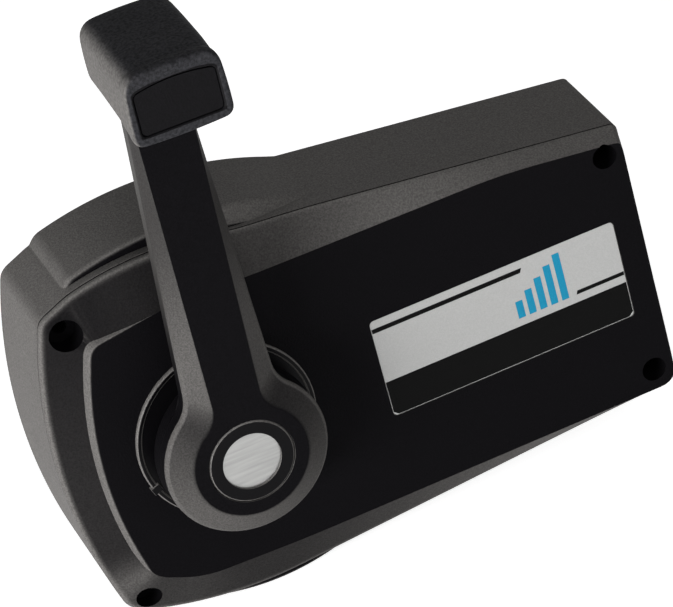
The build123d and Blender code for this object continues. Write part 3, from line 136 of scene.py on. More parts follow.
barrel_edge = [
    (-41.0, 70.5, 1.0, 0.0), (-37.5, 74.6, 2.4, 7.97), (54.0, 68.6, 1.0, 0.0),
    (62.0, 65.5, 1.0, 0.0), (62.0, -68.0, 1.0, 0.0), (41.0, -71.8, 3.0, 8.9),
    (-36.0, -67.5, 2.0, 0.0),
]
barrel_steps = (3, 40, 4, 8, 4, 40, 8)
barrel_front, barrel_slope_foot, barrel_slope_top, barrel_front_low = 40.4, 36.4, 42.6, 43.6
barrel_slope_x = (-8, 10)
brow_rise, brow_rise_low = 0.3, 0.2
seam_width, seam_depth = 0.6, 0.7
mounts = [(-45.5, 58.5, 6.2), (-45.3, -58.5, 4.9), (164.8, 44.5, 4.8), (164.4, -50.3, 4.8)]
mount_seat, mount_bore, column_radius = 41.0, 2.75, 8.0
posts = [(-44.0, 22.0), (112.0, 52.0), (112.0, -60.0)]
post_radius, post_bore = 5.0, 1.8
outlets = [(0.0, 31.0), (-33.0, 12.5)]  # Z and height of the cable outlets
outlet_radius = 7.0
pivot_hole_radius, pivot_hole_depth = 11.0, 6
over = 2  # how far a cut runs past what it cuts
label_left, label_top, label_width, label_height, label_depth = 62.0, 17.6, 100.0, 42.1, 1.0
ink_height, print_margin, band_corner, band_corner_height = 0.03, 0.2, 2, 1.8
band_share, bars_start, bars_end, line_end, line_top = 0.642, 0.56, 0.785, 0.615, 0.08
upper_line, lower_line, lower_line_rise, bar_rise = 1.9, 1.6, 4.8, 3.2
bar_share, first_bar = 0.64, 0.36
detent_wire, detent_turns, detent_travel = 0.5, 6, 2.6
button_wire, button_turns, button_travel = 0.7, 4, 4.0
turn_steps, wire_sides = 28, 10

# ---- stage, in metres and watts ------------------------------
floor_gap, floor_reach, floor_glow = 0.0004, 8.0, 0.75
world_front, world_back = 0.059, 0.236
lamps = [  # name, place, target, size, power
    ("lamp_key", (0.2, -1.6, 0.8), (0.05, 0.0, 0.0), (1.7, 1.7), 13.6),
    ("lamp_back", (0.45, 1.25, 0.85), (0.05, 0.0, 0.0), (1.3, 0.8), 2.4),
    ("lamp_left", (-1.2, -0.75, 0.12), (0.0, -0.03, 0.02), (1.0, 0.34), 26.0),
]

# edge rounds of dressed pieces, in metres
thin_round, collar_round, small_round, soft_round = 0.0002, 0.00025, 0.0003, 0.0004


# ---- node groups ---------------------------------------------
def new_group(name, inputs, outputs):
    """A shader node group with its named sockets, and its input and output nodes."""
    tree = bpy.data.node_groups.new(name, "ShaderNodeTree")
    for label, value in inputs.items():
        kind = "NodeSocketVector" if isinstance(value, tuple) else "NodeSocketFloat"
        socket = tree.interface.new_socket(label, in_out="INPUT", socket_type=kind)
        socket.default_value = value
    for label in outputs:
        tree.interface.new_socket(label, in_out="OUTPUT", socket_type="NodeSocketFloat")
    return tree, tree.nodes.new("NodeGroupInput"), tree.nodes.new("NodeGroupOutput")


def calculated(tree, operation, first, second):
    """Result of an arithmetic node on two sockets."""
    node = tree.nodes.new("ShaderNodeMath")
    node.operation = operation
    tree.links.new(first, node.inputs[0])
    tree.links.new(second, node.inputs[1])
    return node.outputs["Value"]


def ranged(tree, value, source, soft=False):
    """Map Range node from a range to 0 and 1, with soft ends where asked for."""
    node = tree.nodes.new("ShaderNodeMapRange")
    if soft:
        node.interpolation_type = "SMOOTHSTEP"
    node.inputs["From Min"].default_value, node.inputs["From Max"].default_value = source
    tree.links.new(value, node.inputs["Value"])
    return node


def grain_group():
    """Fine moulded or sprayed grain, with masks for its colour and gloss.

    One mask goes by how far a face turns from the front and paints light on slopes and flanks, Side
    goes by how far it turns left and paints light on left-facing faces, and Rise goes by its height in
    metres and drives painted shade that changes with height.
    """
    tree, enter, leave = new_group(
        "surface_grain",
        {
            "Scale": 1500.0, "Cell Share": 0.5, "Cloud Scale": 60.0,
            "Painted Light Start": 0.99, "Painted Light Full": 0.68, "Tilt": (0.3, 0.0, 0.4),
        },
        ("Height", "Mask", "Cloud", "Painted Light", "Side", "Rise"),
    )
    link = tree.links.new
    place = tree.nodes.new("ShaderNodeTexCoord")
    noise = tree.nodes.new("ShaderNodeTexNoise")
    noise.inputs["Detail"].default_value = 3.0
    noise.inputs["Roughness"].default_value = 0.6
    cells = tree.nodes.new("ShaderNodeTexVoronoi")
    cells.feature = "SMOOTH_F1"
    cloud = tree.nodes.new("ShaderNodeTexNoise")
    cloud.inputs["Detail"].default_value = 4.0
    for texture in (noise, cells, cloud):
        link(place.outputs["Object"], texture.inputs["Vector"])
    link(enter.outputs["Scale"], noise.inputs["Scale"])
    link(enter.outputs["Scale"], cells.inputs["Scale"])
    link(enter.outputs["Cloud Scale"], cloud.inputs["Scale"])
    blend = tree.nodes.new("ShaderNodeMix")
    link(enter.outputs["Cell Share"], blend.inputs["Factor"])
    link(noise.outputs["Fac"], blend.inputs["A"])
    link(cells.outputs["Distance"], blend.inputs["B"])
    mask = ranged(tree, noise.outputs["Fac"], (0.35, 0.65))

    # masks for painted light and shade: the face's turn from the front and to the left, and its height
    facing = tree.nodes.new("ShaderNodeSeparateXYZ")
    link(place.outputs["Normal"], facing.inputs["Vector"])
    front = calculated(tree, "MULTIPLY", facing.outputs["Y"], facing.outputs["Y"])
    lean = tree.nodes.new("ShaderNodeVectorMath")
    lean.operation = "DOT_PRODUCT"
    link(place.outputs["Normal"], lean.inputs[0])
    link(enter.outputs["Tilt"], lean.inputs[1])
    painted_light = ranged(tree, calculated(tree, "ADD", front, lean.outputs["Value"]), (0.0, 1.0), True)
    link(enter.outputs["Painted Light Start"], painted_light.inputs["From Min"])
    link(enter.outputs["Painted Light Full"], painted_light.inputs["From Max"])
    side = ranged(tree, facing.outputs["X"], (-0.1, -0.9), True)
    spot = tree.nodes.new("ShaderNodeSeparateXYZ")
    link(place.outputs["Object"], spot.inputs["Vector"])
    rise = ranged(tree, spot.outputs["Z"], (0.03, 0.11), True)

    link(blend.outputs["Result"], leave.inputs["Height"])
    link(cloud.outputs["Fac"], leave.inputs["Cloud"])
    for node, name in ((mask, "Mask"), (painted_light, "Painted Light"), (side, "Side"), (rise, "Rise")):
        link(node.outputs["Result"], leave.inputs[name])
    return tree


def brush_group():
    """Fine straight or turned scratches of machined metal: a height and a gloss mask."""
    tree, enter, leave = new_group(
        "tool_marks",
        {"Scale": 400.0, "Stretch": (1.0, 0.05, 1.0)}, ("Height", "Mask"),
    )
    place = tree.nodes.new("ShaderNodeTexCoord")
    stretch = tree.nodes.new("ShaderNodeVectorMath")
    stretch.operation = "MULTIPLY"
    noise = tree.nodes.new("ShaderNodeTexNoise")
    noise.inputs["Detail"].default_value = 4.0
    link = tree.links.new
    link(place.outputs["Object"], stretch.inputs[0])
    link(enter.outputs["Stretch"], stretch.inputs[1])
    link(stretch.outputs["Vector"], noise.inputs["Vector"])
    link(enter.outputs["Scale"], noise.inputs["Scale"])
    mask = ranged(tree, noise.outputs["Fac"], (0.3, 0.7))
    link(noise.outputs["Fac"], leave.inputs["Height"])
    link(mask.outputs["Result"], leave.inputs["Mask"])
    return tree


# ---- finishes ------------------------------------------------
def principled(name):
    material = bpy.data.materials.new(name)
    material.use_nodes = True
    return material, material.node_tree, material.node_tree.nodes["Principled BSDF"]


def mixed(tree, factor, *pair):
    """Mix of two colours, each written out or from a socket."""
    blend = tree.nodes.new("ShaderNodeMix")
    blend.data_type = "RGBA"
    tree.links.new(factor, blend.inputs["Factor"])
    for label, colour in zip("AB", pair):
        if isinstance(colour, tuple):
            blend.inputs[label].default_value = (*colour, 1.0)
        else:
            tree.links.new(colour, blend.inputs[label])
    return blend.outputs["Result"]


def spread(tree, factor, low, high):
    """A mask stretched from 0 and 1 to low and high."""
    node = ranged(tree, factor, (0.0, 1.0))
    node.inputs["To Min"].default_value, node.inputs["To Max"].default_value = low, high
    return node.outputs["Result"]


def textured(name, group, depth, settings):
    """A material with the bump of a shared group, and that group's node."""
    material, tree, shader = principled(name)
    marks = tree.nodes.new("ShaderNodeGroup")
    marks.node_tree = bpy.data.node_groups[group]
    for label, value in settings.items():
        marks.inputs[label].default_value = value
    bump = tree.nodes.new("ShaderNodeBump")
    bump.inputs["Distance"].default_value = depth
    tree.links.new(marks.outputs["Height"], bump.inputs["Height"])
    tree.links.new(bump.outputs["Normal"], shader.inputs["Normal"])
    return material, tree, shader, marks


def grained(
    name, dark, light, gloss, scale, depth, cells=0.5, level=0.25, painted_light_colour=None,
    where="Painted Light", painted_light_range=(0.99, 0.68), tilt=(0.3, 0.0, 0.4), fade=0.0,
):
    """Moulded plastic, sprayed paint or rubber with a fine grain.

    The paler colour is painted light on slopes and flanks, which the group's mask named by where
    brings in, from the first to the second value of the range. fade takes that share of it away toward
    the lever's top, as painted shade.
    """
    start, full = painted_light_range
    material, tree, shader, grain = textured(name, "surface_grain", depth, {
        "Scale": scale, "Cell Share": cells, "Painted Light Start": start, "Painted Light Full": full, "Tilt": tilt,
    })
    colour = mixed(tree, grain.outputs["Mask"], dark, light)
    # painted light: a paler colour brought in by a mask of the face's turn or height
    if painted_light_colour:
        painted_lit = mixed(tree, grain.outputs["Mask"], painted_light_colour, tuple(1.7 * c for c in painted_light_colour))
        share = grain.outputs[where]
        # painted shade: the painted light fades toward the lever's top
        if fade:
            left = spread(tree, grain.outputs["Rise"], 1.0, 1.0 - fade)
            share = calculated(tree, "MULTIPLY", share, left)
        colour = mixed(tree, share, colour, painted_lit)
    tree.links.new(colour, shader.inputs["Base Color"])
    tree.links.new(spread(tree, grain.outputs["Cloud"], *gloss), shader.inputs["Roughness"])
    shader.inputs["Specular IOR Level"].default_value = level
    return material


def machined(name, dark, light, gloss, scale, stretch, depth):
    """Metal with tool or brush marks."""
    settings = {"Scale": scale, "Stretch": stretch}
    material, tree, shader, marks = textured(name, "tool_marks", depth, settings)
    colour = mixed(tree, marks.outputs["Mask"], dark, light)
    tree.links.new(colour, shader.inputs["Base Color"])
    tree.links.new(spread(tree, marks.outputs["Mask"], *gloss), shader.inputs["Roughness"])
    shader.inputs["Metallic"].default_value = 1.0
    return material


def finish_of(name):
    """The finish with that name, made the first time it is asked for."""
    if name in bpy.data.materials:
        return bpy.data.materials[name]
    looks = bpy.context.scene.control_looks
    black = tuple(looks.black)
    lifted = tuple(2.0 * c for c in black)
    painted_light = tuple(looks.painted_light)
    grip = tuple(looks.grip)
    grip_light = tuple(2.8 * c for c in grip)
    makers = {
        # painted light: a paler colour on the housing's slopes and flanks, most on the left
        "moulded_black": lambda: grained(
            name, black, lifted, (0.5, 0.62), 1500, 0.00012, level=0.03, painted_light_colour=painted_light,
            painted_light_range=(0.98, 0.5), tilt=(0.3, 0.0, 0.0),
        ),
        # painted light on the lever's slopes, with painted shade toward its top
        "lever_black": lambda: grained(
            name, black, lifted, (0.48, 0.6), 1700, 0.0001, level=0.035,
            painted_light_colour=tuple(0.78 * c for c in painted_light), painted_light_range=(0.96, 0.6), tilt=(0.06, 0.0, 0.2),
            fade=0.62,
        ),
        # painted shade: the housing black without its painted light, for hollows and the seam
        "shade_black": lambda: grained(name, black, black, (0.7, 0.8), 1500, 0.00005, level=0.03),
        # painted shade on the hub's skirt, with painted light growing up the arm's flanks
        "lever_flank": lambda: grained(
            name, black, lifted, (0.42, 0.54), 1700, 0.0001, level=0.05,
            painted_light_colour=tuple(0.45 * c for c in painted_light), where="Rise",
        ),
        # painted light on the collar's slopes
        "collar_black": lambda: grained(
            name, black, black, (0.3, 0.4), 1700, 0.00005, level=0.08,
            painted_light_colour=tuple(1.1 * c for c in painted_light), tilt=(0.0, 0.0, 0.0),
        ),
        "trim_black": lambda: grained(name, black, black, (0.25, 0.34), 2200, 0.00003, level=0.1),
        # painted light on the grip's left-facing sides
        "rubber_grain": lambda: grained(
            name, grip, grip_light, (0.6, 0.75), 900, 0.00022, 0.65, level=0.06,
            painted_light_colour=tuple(1.05 * c for c in painted_light), where="Side",
        ),
        "grip_inset": lambda: grained(name, black, lifted, (0.55, 0.65), 1300, 0.00015, level=0.08),
        "plate_black": lambda: grained(name, black, lifted, (0.4, 0.5), 900, 0.00008),
        "soft_black": lambda: grained(name, black, black, (0.65, 0.8), 900, 0.0001),
        "natural_plastic": lambda: grained(
            name, (0.62, 0.6, 0.54), (0.7, 0.68, 0.62), (0.3, 0.4), 600, 0.00003
        ),
        "label_silver": lambda: grained(
            name, tuple(looks.silver), tuple(1.12 * c for c in looks.silver), (0.5, 0.6), 2500,
            0.00001, level=0.1,
        ),
        "label_black": lambda: grained(
            name, (0.0034,) * 3, (0.005,) * 3, (0.5, 0.6), 2500, 0.00001, level=0.04
        ),
        "label_blue": lambda: grained(
            name, tuple(looks.blue), tuple(1.1 * c for c in looks.blue), (0.4, 0.5), 2500, 0.00001,
            level=0.1,
        ),
    }
    metals = {  # darker and lighter colour, gloss, scale and stretch of the marks, their depth
        "brushed_disc": (
            (0.34, 0.34, 0.336), (0.44, 0.44, 0.43), (0.32, 0.46), 900, (0.06, 1.0, 1.0), 0.00003
        ),
        "plated_steel": (
            (0.4, 0.4, 0.41), (0.58, 0.58, 0.59), (0.25, 0.4), 700, (1.0, 0.1, 1.0), 0.00004
        ),
        "cut_steel": (
            (0.26, 0.25, 0.24), (0.42, 0.41, 0.39), (0.3, 0.5), 500, (1.0, 0.08, 1.0), 0.00005
        ),
        "spring_wire": (
            (0.3, 0.3, 0.31), (0.45, 0.45, 0.46), (0.25, 0.4), 900, (1.0, 1.0, 1.0), 0.00003
        ),
        "turned_brass": (
            (0.5, 0.36, 0.13), (0.66, 0.5, 0.22), (0.25, 0.4), 700, (1.0, 0.1, 1.0), 0.00004
        ),
        "cast_alloy": ((0.4, 0.4, 0.4), (0.55, 0.55, 0.55), (0.45, 0.6), 350, (1.0, 1.0, 1.0), 0.0001),
    }
    if name in metals:
        return machined(name, *metals[name])
    return makers[name]()


def soften_edges(piece, width, limit):
    """A small round on every edge sharper than the limit, in degrees."""
    soften = piece.modifiers.new("edge_round", "BEVEL")
    soften.width = width
    soften.segments = 3
    soften.limit_method = "ANGLE"
    soften.angle_limit = radians(limit)
    soften.harden_normals = True


def dress(node, finish, round_width=0.0):
    """Gives a CAD node its finish, and its edges a small round where one shows."""
    piece = nodes[node]
    piece.data.materials.clear()
    piece.data.materials.append(finish_of(finish))
    if round_width:
        weld = piece.modifiers.new("weld", "WELD")
        weld.merge_threshold = 0.000002
        soften_edges(piece, round_width, 28)


def ring_faces(count, levels):
    """Closed skin over rings that have count points each."""
    last = count * levels - 1
    faces = [tuple(range(count)), tuple(range(last, last - count, -1))]
    for low in range(0, last + 1 - count, count):
        high = low + count
        faces += [
            (low + i, high + i, high + (i + 1) % count, low + (i + 1) % count)
            for i in range(count)
        ]
    return faces


def new_object(name, points, faces, merge=0.0):
    """A mesh object, in metres, with its faces turned outwards."""
    data = bpy.data.meshes.new(name)
    data.from_pydata([tuple(point) for point in points], [], faces)
    shape = bmesh.new()
    shape.from_mesh(data)
    if merge:
        bmesh.ops.remove_doubles(shape, verts=shape.verts, dist=merge)
    bmesh.ops.recalc_face_normals(shape, faces=shape.faces)
    shape.to_mesh(data)
    shape.free()
    piece = bpy.data.objects.new(name, data)
    bpy.context.scene.collection.objects.link(piece)
    return piece


def mesh_piece(name, vertices, faces, finish, body, smooth=True):
    """A piece of the scene's own, in metres, that rides on a body."""
    piece = new_object(name, vertices, faces)
    for face in piece.data.polygons:
        face.use_smooth = smooth
    piece.data.materials.append(finish_of(finish))
    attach(piece, body)
    return piece


# ---- outlines and soft lofts ---------------------------------
def bow_circle(chord, bow):
    """Radius and half the turn of the arc that bows out over a chord."""
    radius = (chord * chord / 4 + bow * bow) / (2 * bow)
    return radius, atan2(chord / 2, radius - bow)


def on_edge(start, end, bow, share):
    """A point of an edge that runs straight, or bows out to the left by bow."""
    if not bow:
        return start.lerp(end, share)
    chord = end - start
    out = Vector((-chord.y, chord.x)).normalized()
    radius, half_turn = bow_circle(chord.length, bow)
    turn = half_turn * (1 - 2 * share)
    spoke = Vector((out.x * cos(turn) - out.y * sin(turn), out.x * sin(turn) + out.y * cos(turn)))
    return (start + end) / 2 - out * (radius - bow) + spoke * radius


def edge_length(start, end, bow):
    chord = (end - start).length
    if not bow:
        return chord
    radius, half_turn = bow_circle(chord, bow)
    return abs(2 * half_turn * radius)


def rounded_corner(before, corner, after, share):
    """A point of the soft curve that replaces a corner."""
    return before * (1 - share) ** 2 + corner * 2 * share * (1 - share) + after * share**2


def outline(corners, rounds, bows, steps):
    """Closed clockwise outline: each edge may bow, and each corner is rounded over its reach."""
    corners = [Vector(corner) for corner in corners]
    edges = list(zip(corners, corners[1:] + corners[:1], bows))
    lengths = [edge_length(*edge) for edge in edges]
    points = []
    for index, edge in enumerate(edges):
        following = (index + 1) % len(edges)
        first = rounds[index] / lengths[index]
        last = 1 - rounds[following] / lengths[index]
        for step in range(steps[index] + 1):
            points.append(on_edge(*edge, first + (last - first) * step / steps[index]))
        leave = on_edge(*edges[following], rounds[following] / lengths[following])
        into = points[-1]
        for step in range(1, corner_steps + 1):
            points.append(
                rounded_corner(into, corners[following], leave, step / (corner_steps + 1))
            )
    return points


def soft_loft(levels, reaches, steps=4):
    """Rings of points through the levels; each inner level is rounded over its reach."""
    rings = [levels[0]]
    for before, here, after, reach in zip(levels, levels[1:], levels[2:], reaches):
        for step in range(steps + 1 if reach else 1):
            ring = []
            for low, mid, high in zip(before, here, after):
                down, up = low - mid, high - mid
                into = mid + down.normalized() * min(reach, 0.48 * down.length)
                leave = mid + up.normalized() * min(reach, 0.48 * up.length)
                ring.append(rounded_corner(into, mid, leave, step / steps) if reach else mid)
            rings.append(ring)
    rings.append(levels[-1])
    return rings


def solid_of_rings(name, rings):
    """A closed mesh object from rings of points in millimetres."""
    points = [point * MM for ring in rings for point in ring]
    return new_object(name, points, ring_faces(len(rings[0]), len(rings)), 1e-7)


def shape_with(piece, others, operation="DIFFERENCE"):
    """Cuts the other solids out of a piece, or joins them to it, and removes them."""
    for other in others:
        change = piece.modifiers.new("change", "BOOLEAN")
        change.object = other
        change.operation = operation
        change.solver = "EXACT"
    bpy.context.view_layer.update()
    ready = piece.evaluated_get(bpy.context.evaluated_depsgraph_get())
    piece.data = bpy.data.meshes.new_from_object(ready)
    piece.modifiers.clear()
    for other in others:
        bpy.data.objects.remove(other)
    return piece


def finished(piece, finish, body, edge_round=0.0, limit=35):
    """Finish, shading and small edge rounds of a piece that is whole."""
    piece.data.materials.clear()
    piece.data.materials.append(finish_of(finish))
    for face in piece.data.polygons:
        face.use_smooth = True
        face.material_index = 0
    piece.data.set_sharp_from_angle(angle=radians(limit))
    if edge_round:
        soften_edges(piece, edge_round, limit)
    level = piece.modifiers.new("level", "WEIGHTED_NORMAL")
    level.keep_sharp = True
    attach(piece, body)
    return piece


def lined(piece, finish, inside):
    """Gives another finish to the faces whose corners, in millimetres, all pass the test."""
    data = piece.data
    data.materials.append(finish_of(finish))
    passed = [inside(vertex.co / MM) for vertex in data.vertices]
    for face in data.polygons:
        if all(passed[corner] for corner in face.vertices):
            face.material_index = len(data.materials) - 1
    return piece


def round_outline(radius, points=96):
    return [
        Vector((radius * sin(2 * pi * i / points), radius * cos(2 * pi * i / points)))
        for i in range(points)
    ]


def edge_of(table, steps=12):
    """Outline from a table of corners with their reach and the bow that follows."""
    corners = [(x, z) for x, z, reach, bow in table]
    steps = steps if isinstance(steps, tuple) else (steps,) * len(table)
    return outline(corners, [row[2] for row in table], [row[3] for row in table], steps)


def rectangle(left, right, low, high, reach):
    """Rectangle with rounded corners."""
    corners = ((left, high), (right, high), (right, low), (left, low))
    return edge_of([(x, z, reach, 0.0) for x, z in corners], 4)


def drawn_in(points, distance):
    """A clockwise outline moved inwards by a distance."""
    moved = []
    for before, here, after in zip(points[-1:] + points[:-1], points, points[1:] + points[:1]):
        along = (after - before).normalized()
        moved.append(here + Vector((along.y, -along.x)) * distance)
    return moved


def nearest_on(points, place):
    """The point of a closed outline that lies nearest to a place."""
    best = None
    for start, end in zip(points, points[1:] + points[:1]):
        along = end - start
        share = max(0.0, min(1.0, (place - start).dot(along) / max(along.length_squared, 1e-9)))
        spot = start + along * share
        if best is None or (spot - place).length < (best - place).length:
            best = spot
    return best


def ease(low, high, value):
    """Soft change from 0 at low to 1 at high."""
    share = max(0.0, min(1.0, (value - low) / (high - low)))
    return share * share * (3 - 2 * share)


def box_place(points, height):
    """Points of the box (X, Z) at a height, or a height each, above the mounting face."""
    heights = height if isinstance(height, list) else [height] * len(points)
    return [Vector((point.x, -high, point.y)) for point, high in zip(points, heights)]


def upright(name, points, low, high):
    """A straight solid of the box between two heights."""
    return solid_of_rings(name, [box_place(points, low), box_place(points, high)])


def round_post(x, z, radius, low, high, points=48):
    spot = Vector((x, z))
    circle = [spot + point for point in round_outline(radius, points)]
    return upright("round_post", circle, low, high)


def lever_place(points, height):
    """Points of the lever (across, along) at a height above the mounting face."""
    return [
        Vector((
            point.x * cos(lever_lean) + point.y * sin(lever_lean),
            -height,
            point.y * cos(lever_lean) - point.x * sin(lever_lean),
        ))
        for point in points
    ]


def printed_shape(name, corners, face, finish):
    """A flat printed shape on the label: corners are X and Z in millimetres."""
    points = [Vector((x, -y, z)) * MM for y in (face, face + ink_height) for x, z in corners]
    faces = ring_faces(len(corners), 2)
    return mesh_piece(name, points, faces, finish, "box", smooth=False)


# ---- settings ------------------------------------------------
colour_kind = {"subtype": "COLOR", "size": 3, "min": 0, "max": 1}


class ControlLooks(bpy.types.PropertyGroup):
    black: FloatVectorProperty(
        name="Black", description="Colour of the housing and lever",
        **colour_kind, default=(0.0024, 0.0022, 0.0027),
    )
    # painted light: the paler colour that stands in for the light on slopes and flanks
    painted_light: FloatVectorProperty(
        name="Painted Light", description="Colour of the fine dust on slopes and flanks",
        **colour_kind, default=(0.088, 0.084, 0.081),
    )
    grip: FloatVectorProperty(
        name="Grip", description="Colour of the grip's rubber",
        **colour_kind, default=(0.0144, 0.0144, 0.016),
    )
    silver: FloatVectorProperty(
        name="Silver", description="Colour of the label's foil",
        **colour_kind, default=(0.42, 0.42, 0.414),
    )
    blue: FloatVectorProperty(
        name="Blue", description="Colour of the bars on the label",
        **colour_kind, default=(0.013, 0.235, 0.39),
    )
    edge_round: FloatProperty(
        name="Edge round", description="Radius of the housing's edges", subtype="DISTANCE",
        unit="LENGTH", min=0, max=0.003, default=0.0004,
    )
    bar_count: IntProperty(
        name="Bars", description="Number of bars on the label", min=2, max=8, default=5
    )


class StageLooks(bpy.types.PropertyGroup):
    azimuth: FloatProperty(
        name="Azimuth", description="Direction of the camera", subtype="ANGLE",
        default=radians(-13.45),
    )
    elevation: FloatProperty(
        name="Elevation", description="Height of the camera", subtype="ANGLE",
        default=radians(30.8),
    )
    roll: FloatProperty(
        name="Roll", description="Turn of the camera about its axis", subtype="ANGLE",
        default=radians(15.6),
    )
    place: FloatVectorProperty(
        name="Place", description="Where the camera stands", subtype="TRANSLATION",
        unit="LENGTH", size=3, default=(-0.285043, -1.464951, 0.895430),
    )
    lens: FloatProperty(
        name="Lens", description="Focal length of the camera", unit="CAMERA", default=248.22
    )


# ---- operators -----------------------------------------------
def toward(points, centre, share):
    """The points drawn some way toward a centre, for the flat ends of a solid."""
    return [point.lerp(Vector(centre), share) for point in points]


def ledge_heights(rim):
    """Height of the cover's rim and of the step's foot at every point of the rim."""
    rims, feet = [], []
    for point in rim:
        slope = ease(*rim_drop_x, point.x) * ease(*rim_drop_z, point.y)
        rims.append(ledge_rim + (slope_rim - ledge_rim) * slope)
        low_side = ease(*step_end_low, point.y)
        top_side = ease(*step_end_top_x, point.x) * ease(*step_end_top_z, point.y)
        share = max(low_side, top_side, ease(*step_end_right, point.x))
        feet.append(step_foot + (face_height - step_foot) * share)
    return rims, feet


def cover_solid():
    """Front cover: soft rim, tilted ledge, low step and plateau, with its openings."""
    rim = edge_of(box_edge, box_steps)
    plateau = edge_of(plateau_edge)
    edge = [nearest_on(plateau, point) for point in rim]
    rims, feet = ledge_heights(rim)
    foot = []
    for inner, outer, high in zip(edge, rim, feet):
        run = step_run * (face_height - high) / (face_height - step_foot)
        foot.append(inner + (outer - inner).normalized() * run)
    levels = [
        box_place(toward(rim, box_middle, 0.1), parting),
        box_place(rim, parting),
        box_place(rim, rims),
        box_place(foot, feet),
        box_place(edge, face_height),
        box_place(toward(edge, box_middle, 0.1), face_height),
    ]
    cover = solid_of_rings("cover_shell", soft_loft(levels, (0.5, 2.6, 0.0, 1.2), 5))
    hollow = upright("hollow", edge_of(cover_hollow_edge), parting - 1, face_height - wall)
    keep = [round_post(x, z, column_radius, parting - over, face_height) for x, z, mouth in mounts]
    keep += [round_post(x, z, post_radius, parting - over, face_height) for x, z in posts]
    shape_with(hollow, keep)
    right, foot_z = label_left + label_width, label_top - label_height
    label = rectangle(label_left, right, foot_z, label_top, 2.0)
    above = face_height + over
    cuts = [hollow, upright("recess", label, face_height - label_depth, above)]
    cuts.append(round_post(0, 0, pivot_hole_radius, face_height - pivot_hole_depth, above, 96))
    cuts += [round_post(x, z, mouth, parting - over, above, 64) for x, z, mouth in mounts]
    cuts += [round_post(x, z, post_bore, parting - over, face_height - wall, 24) for x, z in posts]
    return shape_with(cover, cuts)


def housing_solid():
    """Rear housing: box with the barrel round the pivot, hollow, columns and openings."""
    rim = edge_of(box_edge, box_steps)
    barrel = edge_of(barrel_edge, barrel_steps)
    fronts, brows = [], []
    for point in barrel:
        slope = ease(*barrel_slope_x, point.x)
        front = barrel_front + (barrel_slope_foot - barrel_front) * slope
        brow = barrel_front + brow_rise + (barrel_slope_top - barrel_front - brow_rise) * slope
        fronts.append(front if point.y > 0 else barrel_front_low)
        brows.append(brow if point.y > 0 else barrel_front_low + brow_rise_low)
    seam = drawn_in(rim, seam_depth)
    box = solid_of_rings("housing_shell", soft_loft([
        box_place(toward(rim, box_middle, 0.1), 0), box_place(rim, 0),
        box_place(rim, parting - seam_width), box_place(seam, parting - seam_width),
        box_place(seam, parting), box_place(toward(seam, box_middle, 0.1), parting),
    ], (0.8, 0.4, 0.0, 0.0), 4))
    bulge = solid_of_rings("bulge", soft_loft([
        box_place(toward(barrel, barrel_middle, 0.2), 0), box_place(barrel, 0),
        box_place(barrel, fronts), box_place(toward(barrel, barrel_middle, 0.075), brows),
        box_place(toward(barrel, barrel_middle, 0.3), brows),
    ], (0.8, 2.2, 0.6), 6))
    shape_with(box, [bulge], "UNION")
    hollow = upright("hollow", edge_of(hollow_edge), -1, parting + 1)
    keep = [round_post(x, z, column_radius, -over, parting + over) for x, z, mouth in mounts]
    keep += [round_post(x, z, post_radius, wall, parting + over) for x, z in posts]
    shape_with(hollow, keep)
    cuts = [hollow]
    for x, z, mouth in mounts:
        cuts.append(round_post(x, z, mouth, mount_seat, parting + over, 64))
        cuts.append(round_post(x, z, mount_bore, -1, mount_seat + 1, 32))
    cuts += [round_post(x, z, post_bore, -1, parting + 1, 24) for x, z in posts]
    for z, height in outlets:
        circle = round_outline(outlet_radius, 64)
        rings = [
            [Vector((x, -height + point.x, z + point.y)) for point in circle]
            for x in (right_end - 2 * wall, right_end + wall)
        ]
        cuts.append(solid_of_rings("outlet", rings))
    return shape_with(box, cuts)


def in_opening(spot):
    """Walls and seats of the mounting mouths, and the joint between housing and cover, which take
    painted shade.
    """
    for x, z, mouth in mounts:
        if sqrt((spot.x - x) ** 2 + (spot.z - z) ** 2) < mouth + 0.05:
            return True
    return parting - seam_width - 0.02 < -spot.y < parting + 0.02


class BuildHousing(bpy.types.Operator):
    """Housing, cover, back plate and collar"""

    bl_idname = "control.build_housing"
    bl_label = "Housing"

    def execute(self, context):
        width = context.scene.control_looks.edge_round
        cover = finished(cover_solid(), "moulded_black", "box", width, 40)
        # painted shade in the mounting mouths and the seam between housing and cover
        lined(cover, "shade_black", in_opening)
        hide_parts("front_cover")
        housing = finished(housing_solid(), "moulded_black", "box", width, 40)
        lined(housing, "shade_black", in_opening)
        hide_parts("rear_housing")
        dress("back_plate", "plate_black")
        dress("pivot_collar", "collar_black", collar_round)
        for node in ("back_plate_screws", "cover_screws"):
            dress(node, "plated_steel", small_round)
        for node in ("throttle_grommet", "shift_grommet"):
            dress(node, "soft_black", soft_round)
        return {"FINISHED"}


